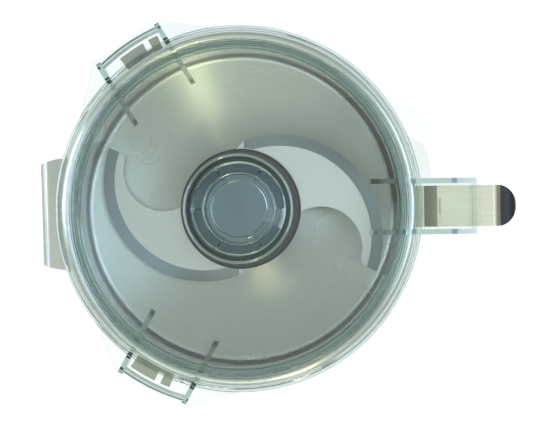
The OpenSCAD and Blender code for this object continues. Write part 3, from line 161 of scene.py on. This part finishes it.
def steel(name, tint, rough, lines, stretch=0.02, anisotropy=0.0):
    """Brushed steel whose scratches run along lines: 'x', 'y', 'z', 'level' or 'rings'."""
    material, tree = new_finish(name)
    place = add_node(tree, "ShaderNodeTexCoord").outputs["Object"]
    fine = 1 / SCRATCH_M
    if lines == "rings":
        part = add_node(tree, "ShaderNodeSeparateXYZ", {0: place})
        flat = add_node(tree, "ShaderNodeCombineXYZ", {0: part.outputs[0], 1: part.outputs[1]})
        reach = add_node(tree, "ShaderNodeVectorMath", {0: flat.outputs[0]}, operation="LENGTH")
        way = add_node(tree, "ShaderNodeVectorMath", {0: flat.outputs[0]}, operation="NORMALIZE")
        away = add_node(tree, "ShaderNodeVectorMath",
                        {0: way.outputs[0], "Scale": fine * stretch / RING_LENGTHENING},
                        operation="SCALE")
        height = add_node(tree, "ShaderNodeMath", {0: part.outputs[2], 1: fine},
                          operation="MULTIPLY")
        outward_lines = add_node(tree, "ShaderNodeMath", {0: reach.outputs["Value"], 1: fine},
                                 operation="MULTIPLY")
        both = add_node(tree, "ShaderNodeMath",
                        {0: outward_lines.outputs[0], 1: height.outputs[0]}, operation="ADD")
        grain = add_node(tree, "ShaderNodeTexNoise",
                         {"Vector": away.outputs[0], "W": both.outputs[0],
                          "Scale": 1.0, "Detail": 3.0},
                         noise_dimensions="4D")
    else:
        scale = {"x": (stretch, 1, 1), "y": (1, stretch, 1), "z": (1, 1, stretch),
                 "level": (stretch, stretch, 1)}[lines]
        squeezed = add_node(tree, "ShaderNodeMapping",
                            {"Vector": place, "Scale": [fine * s for s in scale]})
        grain = add_node(tree, "ShaderNodeTexNoise",
                         {"Vector": squeezed.outputs[0], "Scale": 1.0, "Detail": 3.0})
    worn = add_node(tree, "ShaderNodeTexNoise",
                    {"Vector": place, "Scale": WEAR_PER_M, "Detail": 2.0})
    pale = [min(1.0, c * SCRATCH_PALE) for c in colour(tint)[:3]] + [1]
    deep = [c * SCRATCH_DEEP for c in colour(tint)[:3]] + [1]
    tone = add_node(tree, "ShaderNodeMix", {"Factor": grain.outputs["Fac"], "A": deep, "B": pale},
                    data_type="RGBA")
    gloss = add_node(tree, "ShaderNodeMapRange",
                     {"Value": worn.outputs["Fac"], "To Min": rough - WEAR_GLOSSIER,
                      "To Max": rough + WEAR_DULLER})
    bump = add_node(tree, "ShaderNodeBump",
                    {"Height": grain.outputs["Fac"], "Strength": SCRATCH_STRENGTH,
                     "Distance": SCRATCH_DEPTH_M})
    metal = add_node(tree, "ShaderNodeBsdfPrincipled",
                     {"Base Color": tone.outputs["Result"], "Metallic": 1.0,
                      "Roughness": gloss.outputs["Result"], "Normal": bump.outputs[0]})
    if anisotropy:
        metal.inputs["Anisotropic"].default_value = anisotropy
        metal.inputs["Anisotropic Rotation"].default_value = ACROSS_RINGS
        tangent = add_node(tree, "ShaderNodeTangent", direction_type="RADIAL", axis="Z")
        tree.links.new(tangent.outputs[0], metal.inputs["Tangent"])
    add_node(tree, "ShaderNodeOutputMaterial", {"Surface": metal.outputs[0]})
    return material


bowl_steel = steel("bowl_steel_brushed_in_rings", "#D6DCD8", 0.27, "rings", anisotropy=0.9)
column_steel = steel("column_steel_turned", "#BFC4C3", 0.28, "rings")
strap_steel = steel("strap_steel_brushed_along", "#CDCAB4", 0.46, "x")
rear_steel = steel("rear_grip_steel_brushed", "#C9CFC9", 0.36, "y")
tab_steel = steel("tab_steel_pressed", "#ABA99F", 0.38, "x", stretch=0.2)
housing_steel = steel("housing_steel_brushed_level", "#C3C5C6", 0.36, "level")
sheet_steel = steel("plate_steel_rolled", "#A7AAAC", 0.42, "x", stretch=0.1)
shaft_steel = steel("shaft_steel_ground", "#C2C4C6", 0.22, "rings")

# %% [markdown]
# ## Blade steel
#
# The blades are hardened stainless steel. Their flats are polished, and the bevel is ground on a
# stone, which leaves a duller, darker strip with a fine grain. The shader finds the bevel by
# its slope: its normal leans away from the flat's, and that lean mixes the ground finish in.

# %% Blade finish
# How far the surface's normal points up on the flat and on the bevel
FLAT_UP, BEVEL_UP = 0.999, 0.96
FLAT_ROUGH, BEVEL_ROUGH = 0.26, 0.42
GRIND_PER_M = 900.0
GRIND_DEPTH_M = 0.00001
GRIND_STRENGTH = 0.25


def blade_finish(name, flat_tint, ground_tint):
    """Polished steel with a duller ground finish wherever the surface leans."""
    material, tree = new_finish(name)
    place = add_node(tree, "ShaderNodeTexCoord").outputs["Object"]
    normal = add_node(tree, "ShaderNodeNewGeometry").outputs["Normal"]
    up = add_node(tree, "ShaderNodeSeparateXYZ", {0: normal}).outputs[2]
    steep = add_node(tree, "ShaderNodeMath", {0: up}, operation="ABSOLUTE")
    lean = add_node(tree, "ShaderNodeMapRange",
                    {"Value": steep.outputs[0], "From Min": FLAT_UP, "From Max": BEVEL_UP})
    grind = add_node(tree, "ShaderNodeTexNoise",
                     {"Vector": place, "Scale": GRIND_PER_M, "Detail": 3.0})
    tint = add_node(tree, "ShaderNodeMix",
                    {"Factor": lean.outputs["Result"],
                     "A": colour(flat_tint), "B": colour(ground_tint)},
                    data_type="RGBA")
    rough = add_node(tree, "ShaderNodeMapRange",
                     {"Value": lean.outputs["Result"], "To Min": FLAT_ROUGH,
                      "To Max": BEVEL_ROUGH})
    bump = add_node(tree, "ShaderNodeBump",
                    {"Height": grind.outputs["Fac"], "Strength": GRIND_STRENGTH,
                     "Distance": GRIND_DEPTH_M})
    metal = add_node(tree, "ShaderNodeBsdfPrincipled",
                     {"Base Color": tint.outputs["Result"], "Metallic": 1.0,
                      "Roughness": rough.outputs["Result"], "Normal": bump.outputs[0]})
    add_node(tree, "ShaderNodeOutputMaterial", {"Surface": metal.outputs[0]})
    return material


blade_steel = blade_finish("blade_steel_polished_and_ground", "#E0E6E9", "#98A2A4")

# %% [markdown]
# ## Clear polycarbonate
#
# The lid is injection-moulded clear polycarbonate. It bends light (index 1.58), and thick walls
# look green because the plastic takes a little red out of the light on a long way through.
# The surface shader is glass, and a thin absorbing volume inside makes the green.
#
# Light that comes through real glass is slow to trace. Rays that carry light to other surfaces
# are therefore let straight through, and only the rays that the eye follows are bent.

# %% Lid plastic
POLYCARBONATE_IOR = 1.58
LID_ROUGHNESS = 0.0
# How strongly the plastic takes its depth tint, per metre of the light's way through it
LID_DENSITY_PER_M = 42.0


def clear_plastic(name, surface_tint, depth_tint, density, rough):
    """Clear moulded plastic that lets the lamps' light through to what is inside."""
    material, tree = new_finish(name)
    glass = add_node(tree, "ShaderNodeBsdfPrincipled",
                     {"Base Color": colour(surface_tint), "Transmission Weight": 1.0,
                      "IOR": POLYCARBONATE_IOR, "Roughness": rough})
    through = add_node(tree, "ShaderNodeBsdfTransparent", {"Color": colour(surface_tint)})
    ray = add_node(tree, "ShaderNodeLightPath")
    carried = add_node(tree, "ShaderNodeMath",
                       {0: ray.outputs["Is Shadow Ray"], 1: ray.outputs["Is Diffuse Ray"]},
                       operation="MAXIMUM")
    mixed = add_node(tree, "ShaderNodeMixShader",
                     {0: carried.outputs[0], 1: glass.outputs[0], 2: through.outputs[0]})
    inside = add_node(tree, "ShaderNodeVolumeAbsorption",
                      {"Color": colour(depth_tint), "Density": density})
    add_node(tree, "ShaderNodeOutputMaterial",
             {"Surface": mixed.outputs[0], "Volume": inside.outputs[0]})
    return material


lid_clear = clear_plastic("lid_polycarbonate_clear", "#FDFFFE", "#A6C8C0",
                          LID_DENSITY_PER_M, LID_ROUGHNESS)

# %% [markdown]
# ## Plastics, rubber and the other metals
#
# The hub is glass-filled nylon, moulded in a satin tool, with a soft sheen: its flange is nearly
# black and its cap blue-grey. The grip and the knob are a matt black nylon with a fine grain,
# and the buttons are glossy ABS. Feet and seals are rubber and silicone, which scatter light
# and have no sharp reflection.
#
# One function makes them all: a colour with a faint cloud in it, a roughness, and a grain
# whose size is given in millimetres.

# %% Moulded finishes
PLASTIC_IOR = 1.5
GRAIN_STRENGTH = 0.4
# The grain makes the surface glossier and duller by this much, but never a perfect mirror
GRAIN_GLOSS, LEAST_ROUGHNESS = 0.06, 0.02
# Faint clouds of colour, so many per metre, and their brightness against the tint
CLOUDS_PER_M = 30.0
CLOUD_DARK, CLOUD_LIGHT = 0.88, 1.12


def moulded(name, tint, rough, grain_mm, grain_depth=0.00005, metallic=0.0):
    """A moulded, cast or painted surface with an even grain."""
    material, tree = new_finish(name)
    place = add_node(tree, "ShaderNodeTexCoord").outputs["Object"]
    grain = add_node(tree, "ShaderNodeTexNoise",
                     {"Vector": place, "Scale": 1000 / grain_mm, "Detail": 3.0})
    cloud = add_node(tree, "ShaderNodeTexNoise",
                     {"Vector": place, "Scale": CLOUDS_PER_M, "Detail": 2.0})
    base = colour(tint)
    tone = add_node(tree, "ShaderNodeMix",
                    {"Factor": cloud.outputs["Fac"],
                     "A": [c * CLOUD_DARK for c in base[:3]] + [1],
                     "B": [min(1, c * CLOUD_LIGHT) for c in base[:3]] + [1]},
                    data_type="RGBA")
    gloss = add_node(tree, "ShaderNodeMapRange",
                     {"Value": grain.outputs["Fac"],
                      "To Min": max(LEAST_ROUGHNESS, rough - GRAIN_GLOSS),
                      "To Max": rough + GRAIN_GLOSS})
    bump = add_node(tree, "ShaderNodeBump",
                    {"Height": grain.outputs["Fac"], "Strength": GRAIN_STRENGTH,
                     "Distance": grain_depth})
    skin = add_node(tree, "ShaderNodeBsdfPrincipled",
                    {"Base Color": tone.outputs["Result"], "Metallic": metallic,
                     "Roughness": gloss.outputs["Result"], "Normal": bump.outputs[0]})
    if not metallic:
        skin.inputs["IOR"].default_value = PLASTIC_IOR
    add_node(tree, "ShaderNodeOutputMaterial", {"Surface": skin.outputs[0]})
    return material


hub_nylon = moulded("hub_nylon_satin", "#1E262A", 0.32, 0.8, 0.00002)
cap_nylon = moulded("hub_cap_nylon_satin", "#76868E", 0.34, 0.8, 0.00002)
grip_nylon = moulded("grip_nylon_grained", "#22282A", 0.50, 0.9)
panel_black = moulded("panel_abs_fine_grain", "#2B2E31", 0.45, 0.6)
foot_rubber = moulded("foot_rubber_matt", "#1C1D1E", 0.75, 1.2)
seal_silicone = moulded("lid_seal_silicone", "#6F8780", 0.40, 0.8)
green_abs = moulded("start_button_abs_gloss", "#1E7A3C", 0.18, 1.5, 0.00001)
red_abs = moulded("stop_button_abs_gloss", "#B3201E", 0.18, 1.5, 0.00001)
grey_abs = moulded("pulse_button_abs_gloss", "#C9CBCB", 0.18, 1.5, 0.00001)
cast_aluminium = moulded("shield_aluminium_cast", "#A3A5A8", 0.50, 1.5, 0.0001, metallic=1.0)
deck_aluminium = moulded("deck_aluminium_turned", "#B9BBBE", 0.34, 0.7, 0.00002, metallic=1.0)
screw_zinc = moulded("screw_steel_zinc_plated", "#B9BCC0", 0.25, 1.0, 0.00001, metallic=1.0)
bronze = moulded("drive_bush_bronze_turned", "#A98550", 0.32, 0.8, 0.00002, metallic=1.0)
brass = moulded("standoff_brass_turned", "#C2A661", 0.28, 0.8, 0.00001, metallic=1.0)
case_paint = moulded("motor_case_semi_gloss_paint", "#5B6168", 0.40, 2.0, 0.00004)
core_steel = moulded("core_steel_laminations", "#55575B", 0.50, 0.5, 0.00004, metallic=1.0)
winding_copper = moulded("winding_copper_enamelled", "#A65A2C", 0.35, 1.0, 0.0001, metallic=1.0)
board_green = moulded("board_solder_mask", "#1B5A34", 0.30, 1.0, 0.00002)
part_plastic = moulded("inner_parts_plastic", "#2E3033", 0.50, 0.8)
white_plastic = moulded("reed_switch_plastic", "#DADAD6", 0.45, 0.8)
magnet_ferrite = moulded("magnet_ferrite", "#3B3B3E", 0.55, 0.6)
bearing_steel = moulded("bearing_steel_ground", "#CDCFD2", 0.15, 0.8, 0.00001, metallic=1.0)

# %% Finishes on the CAD nodes
dress(bowl_steel, "bowl_shell")
dress(column_steel, "bowl_column", "hub_core")
dress(strap_steel, "handle_strap")
dress(rear_steel, "rear_grip")
dress(tab_steel, "lid_tabs", "tab_pins")
dress(blade_steel, "blade_upper", "blade_lower")
dress(hub_nylon, "hub_flange", "blade_spacer")
dress(cap_nylon, "hub_cap")
dress(bronze, "drive_bush")
dress(lid_clear, "lid_shell")
dress(seal_silicone, "lid_seal")
dress(grip_nylon, "handle_grip", "speed_knob")
dress(magnet_ferrite, "handle_magnet")
dress(housing_steel, "base_housing", "vent_grille")
dress(sheet_steel, "base_plate")
dress(deck_aluminium, "top_deck", "bowl_foot", "run_capacitor", "speed_pot")
dress(shaft_steel, "drive_shaft", "locating_studs")
dress(screw_zinc, "deck_screws", "foot_screws", "panel_screws", "vent_screws", "motor_bolts",
      "handle_screws", "hub_screws")
dress(foot_rubber, "rubber_feet", "shaft_seal")
dress(panel_black, "control_panel")
dress(part_plastic, "switch_blocks", "cable_gland", "gland_nut", "cooling_fan", "capacitor_clip")
dress(cast_aluminium, "upper_end_shield", "lower_end_shield")
dress(case_paint, "motor_case")
dress(core_steel, "stator_core", "rotor_core")
dress(winding_copper, "stator_windings")
dress(bearing_steel, "upper_bearing", "lower_bearing")
dress(board_green, "control_board")
dress(brass, "board_standoffs")
dress(white_plastic, "reed_switch")
dress(green_abs, "start_button")
dress(red_abs, "stop_button")
dress(grey_abs, "pulse_button")

# %% [markdown]
# ## Marks round the speed knob
#
# The speed knob turns a sealed pot through 270 degrees. Eleven short marks are printed round it on
# the panel, so each mark is a step of 27 degrees, and a white bar on the knob's face points at one.
# No words or numbers are printed.
#
# The marks are one thin bar that repeats round a circle, so Geometry Nodes places them. The
# circle is found from the CAD: its centre and axis come from the knob's joint, and a ray cast
# at the panel finds the surface that the marks lie on.

# %% Marks by Geometry Nodes
def marks_tree(name, finish):
    """A node group that sets out thin bars along an arc in the XY plane."""
    tree = bpy.data.node_groups.new(name, "GeometryNodeTree")
    tree.interface.new_socket("Geometry", in_out="OUTPUT", socket_type="NodeSocketGeometry")
    tree.interface.new_socket("Count", in_out="INPUT", socket_type="NodeSocketInt")
    for label in ("Start", "Sweep", "Radius", "Length", "Width", "Height"):
        tree.interface.new_socket(label, in_out="INPUT", socket_type="NodeSocketFloat")
    given = add_node(tree, "NodeGroupInput").outputs
    row = add_node(tree, "GeometryNodeMeshLine", {"Count": given["Count"]})
    index = add_node(tree, "GeometryNodeInputIndex")
    gaps = add_node(tree, "ShaderNodeMath", {0: given["Count"], 1: 1.0}, operation="SUBTRACT")
    least = add_node(tree, "ShaderNodeMath", {0: gaps.outputs[0], 1: 1.0}, operation="MAXIMUM")
    share = add_node(tree, "ShaderNodeMath", {0: index.outputs[0], 1: least.outputs[0]},
                     operation="DIVIDE")
    turned = add_node(tree, "ShaderNodeMath", {0: share.outputs[0], 1: given["Sweep"]},
                      operation="MULTIPLY")
    angle = add_node(tree, "ShaderNodeMath", {0: given["Start"], 1: turned.outputs[0]},
                     operation="SUBTRACT")
    across = add_node(tree, "ShaderNodeMath", {0: angle.outputs[0]}, operation="COSINE")
    along = add_node(tree, "ShaderNodeMath", {0: angle.outputs[0]}, operation="SINE")
    unit = add_node(tree, "ShaderNodeCombineXYZ", {0: across.outputs[0], 1: along.outputs[0]})
    place = add_node(tree, "ShaderNodeVectorMath",
                     {0: unit.outputs[0], "Scale": given["Radius"]}, operation="SCALE")
    set_out = add_node(tree, "GeometryNodeSetPosition",
                       {"Geometry": row.outputs["Mesh"], "Position": place.outputs[0]})
    size = add_node(tree, "ShaderNodeCombineXYZ",
                    {0: given["Length"], 1: given["Width"], 2: given["Height"]})
    bar = add_node(tree, "GeometryNodeMeshCube", {"Size": size.outputs[0]})
    spin = add_node(tree, "ShaderNodeCombineXYZ", {2: angle.outputs[0]})
    bars = add_node(tree, "GeometryNodeInstanceOnPoints",
                    {"Points": set_out.outputs[0], "Instance": bar.outputs["Mesh"],
                     "Rotation": spin.outputs[0]})
    solid = add_node(tree, "GeometryNodeRealizeInstances", {0: bars.outputs[0]})
    painted = add_node(tree, "GeometryNodeSetMaterial",
                       {"Geometry": solid.outputs[0], "Material": finish})
    add_node(tree, "NodeGroupOutput", {"Geometry": painted.outputs[0]})
    return tree


def laid_marks(name, tree, place, **sizes):
    """A plain mesh of the marks that the tree draws, laid on the plane of the given matrix."""
    carrier = bpy.data.objects.new(name + "_nodes", bpy.data.meshes.new(name + "_nodes"))
    bpy.context.scene.collection.objects.link(carrier)
    modifier = carrier.modifiers.new("marks", "NODES")
    modifier.node_group = tree
    for item in tree.interface.items_tree:
        if item.in_out == "INPUT":
            modifier[item.identifier] = sizes[item.name]
    graph = bpy.context.evaluated_depsgraph_get()
    mesh = bpy.data.meshes.new_from_object(carrier.evaluated_get(graph))
    carrier.modifiers.remove(modifier)
    bpy.data.objects.remove(carrier)
    mesh.name = name
    mesh.transform(place)
    marks = bpy.data.objects.new(name, mesh)
    bpy.context.scene.collection.objects.link(marks)
    print(name, "has", len(mesh.polygons), "faces")
    return marks


# %% [markdown]
# The panel leans back, so the marks are drawn flat and then turned onto it. The three directions
# of the panel are along it to the right, up its slope, and straight out of it.

# %% Lay the marks on the panel and the knob
speed_turn = [j for j in frame["joints"] if j["name"] == "speed_turn"][0]
knob_centre = Vector(speed_turn["pos_m"])
outward = Vector(speed_turn["axis"]).normalized()
rightward = Vector((1, 0, 0))
upslope = outward.cross(rightward)
knob_low, knob_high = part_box("speed_knob")
knob_radius = (knob_high.x - knob_low.x) / 2
# Rays start this far out along the knob's axis, clear of the knob
RAY_START = 0.1


def face_height(node, angle, radius):
    """Height along the knob's axis at which a node is met, at an angle and a radius round it."""
    tree = BVHTree.FromObject(NODES[node], bpy.context.evaluated_depsgraph_get())
    start = (knob_centre + outward * RAY_START
             + (rightward * math.cos(angle) + upslope * math.sin(angle)) * radius)
    hit = tree.ray_cast(start, -outward)[0]
    return (hit - knob_centre).dot(outward)


def knob_plane(height):
    """Matrix that turns the XY plane onto the panel's slope at that height on the knob's axis."""
    turn = Matrix((rightward, upslope, outward)).transposed().to_4x4()
    return Matrix.Translation(knob_centre + outward * height) @ turn


MARK_COUNT = 11
MARK_GAP, MARK_LENGTH, MARK_WIDTH, MARK_HEIGHT = 0.0035, 0.0035, 0.0009, 0.00016
FIRST_MARK, DIAL_SWEEP = math.radians(225), math.radians(270)
POINTER_WIDTH = 0.0016
# The pointer's middle and length against the knob's radius
POINTER_MIDDLE, POINTER_SHARE = 0.6, 0.5
print_white = moulded("panel_print_white", "#E4E6E6", 0.45, 0.8, 0.00001)
dial_tree = marks_tree("bars_along_an_arc", print_white)
mark_circle = knob_radius + MARK_GAP + MARK_LENGTH / 2
dial_marks = laid_marks(
    "dial_marks", dial_tree, knob_plane(face_height("control_panel", 0, mark_circle)),
    Count=MARK_COUNT, Start=FIRST_MARK, Sweep=DIAL_SWEEP, Radius=mark_circle,
    Length=MARK_LENGTH, Width=MARK_WIDTH, Height=MARK_HEIGHT)
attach(dial_marks, "base")
pointer_circle = knob_radius * POINTER_MIDDLE
knob_pointer = laid_marks(
    "knob_pointer", dial_tree, knob_plane(face_height("speed_knob", FIRST_MARK, pointer_circle)),
    Count=1, Start=FIRST_MARK, Sweep=0.0, Radius=pointer_circle,
    Length=knob_radius * POINTER_SHARE, Width=POINTER_WIDTH, Height=2 * MARK_HEIGHT)
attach(knob_pointer, "knob")

# %% [markdown]
# ## The studio
#
# The photograph is lit softly from all round, and its background is pure white. The world is a
# light tent: dim at the horizon, brightest about 20 degrees off the zenith, and a little darker
# straight above, where the camera hangs. The white background is only for the rays that the
# eye follows, so it puts no more light on the object.
#
# Rays that mirror off the steel and leave through the clear lid count as looked through, too.
# They have been mirrored once, and that tells them apart: they see the tent, not the white.

# %% World light
# Height of a direction, from 0 at the horizon to 1 at the zenith, and the tent's brightness there
TENT_LEVELS = [(0.0, 0.12), (0.72, 0.46), (0.93, 0.80), (0.995, 0.66)]
TENT_TINT = "#F6FAF2"

world = bpy.data.worlds.new("light_tent")
world.use_nodes = True
sky = world.node_tree
sky.nodes.clear()
direction = add_node(sky, "ShaderNodeTexCoord").outputs["Generated"]
upward = add_node(sky, "ShaderNodeSeparateXYZ", {0: direction}).outputs[2]
tent = add_node(sky, "ShaderNodeValToRGB", {0: upward})
while len(tent.color_ramp.elements) < len(TENT_LEVELS):
    tent.color_ramp.elements.new(1.0)
for stop, (height, bright) in zip(tent.color_ramp.elements, TENT_LEVELS):
    stop.position = height
    stop.color = (bright, bright, bright, 1)
seen = add_node(sky, "ShaderNodeLightPath")
unmirrored = add_node(sky, "ShaderNodeMath", {0: seen.outputs["Glossy Depth"], 1: 0.5},
                      operation="LESS_THAN")
looked_through = add_node(sky, "ShaderNodeMath",
                          {0: seen.outputs["Is Transmission Ray"], 1: unmirrored.outputs[0]},
                          operation="MULTIPLY")
direct = add_node(sky, "ShaderNodeMath",
                  {0: seen.outputs["Is Camera Ray"], 1: looked_through.outputs[0]},
                  operation="MAXIMUM")
level = add_node(sky, "ShaderNodeMix",
                 {"Factor": direct.outputs[0], "A": tent.outputs["Color"], "B": 1.0},
                 data_type="FLOAT")
tint = add_node(sky, "ShaderNodeMix",
                {"Factor": direct.outputs[0], "A": colour(TENT_TINT), "B": (1, 1, 1, 1)},
                data_type="RGBA")
glow = add_node(sky, "ShaderNodeBackground",
                {"Color": tint.outputs["Result"], "Strength": level.outputs["Result"]})
add_node(sky, "ShaderNodeOutputWorld", {"Surface": glow.outputs[0]})
bpy.context.scene.world = world

# %% [markdown]
# Five area lamps add the photograph's softboxes. Each faces the bowl. The camera doesn't see
# them, but the steel mirrors them.

# %% Soft lamps
LAMP_AIM = Vector((0, 0, 0.4))


def soft_lamp(name, place, wide, tall, radiance, tint):
    """A softbox that faces the bowl and shines as brightly as its radiance says."""
    data = bpy.data.lights.new(name, "AREA")
    data.shape = "RECTANGLE"
    data.size = wide
    data.size_y = tall
    data.energy = radiance * math.pi * wide * tall
    data.color = colour(tint)[:3]
    lamp = bpy.data.objects.new(name, data)
    lamp.location = place
    lamp.rotation_euler = (LAMP_AIM - Vector(place)).to_track_quat("-Z", "Y").to_euler()
    lamp.visible_camera = False
    bpy.context.scene.collection.objects.link(lamp)
    print(name, "shines with", round(data.energy, 1), "W")


soft_lamp("softbox_right", (0.98, 0.12, 2.05), 1.1, 0.9, 3.6, "#CCE0FF")
soft_lamp("softbox_left", (-1.30, 0.25, 1.50), 0.8, 0.6, 4.2, "#E0EEFF")
soft_lamp("low_box_left", (-1.50, 0.30, 0.62), 0.8, 0.4, 3.5, "#EEF5FF")
soft_lamp("softbox_front", (-0.25, -1.00, 2.00), 1.1, 0.7, 2.0, "#F6F9F2")
soft_lamp("strip_front", (0.30, -0.95, 2.02), 0.08, 0.9, 14.0, "#FFEFC0")

# %% [markdown]
# ## The floor
#
# The machine stands on a plain white table. The floor is a matt white that glows a little for
# the eye's own rays, so that it reads as the photograph's white and still shows a soft shadow.

# %% Floor
FLOOR_REACH = 6.0
FLOOR_TINT = "#F2F2F2"
FLOOR_GLOW = 0.45
floor_white, floor_tree = new_finish("table_matt_white")
matt = add_node(floor_tree, "ShaderNodeBsdfDiffuse", {"Color": colour(FLOOR_TINT)})
eye = add_node(floor_tree, "ShaderNodeLightPath")
direct_look = add_node(floor_tree, "ShaderNodeMath",
                       {0: eye.outputs["Is Camera Ray"], 1: eye.outputs["Is Transmission Ray"]},
                       operation="MAXIMUM")
lifted = add_node(floor_tree, "ShaderNodeMath", {0: direct_look.outputs[0], 1: FLOOR_GLOW},
                  operation="MULTIPLY")
own = add_node(floor_tree, "ShaderNodeEmission", {"Strength": lifted.outputs[0]})
both_ways = add_node(floor_tree, "ShaderNodeAddShader", {0: matt.outputs[0], 1: own.outputs[0]})
add_node(floor_tree, "ShaderNodeOutputMaterial", {"Surface": both_ways.outputs[0]})

floor_mesh = bpy.data.meshes.new("table")
floor_mesh.from_pydata(
    [(-FLOOR_REACH, -FLOOR_REACH, 0), (FLOOR_REACH, -FLOOR_REACH, 0),
     (FLOOR_REACH, FLOOR_REACH, 0), (-FLOOR_REACH, FLOOR_REACH, 0)], [], [(0, 1, 2, 3)])
floor_mesh.materials.append(floor_white)
table = bpy.data.objects.new("table", floor_mesh)
bpy.context.scene.collection.objects.link(table)

bpy.context.scene.view_settings.view_transform = "Standard"
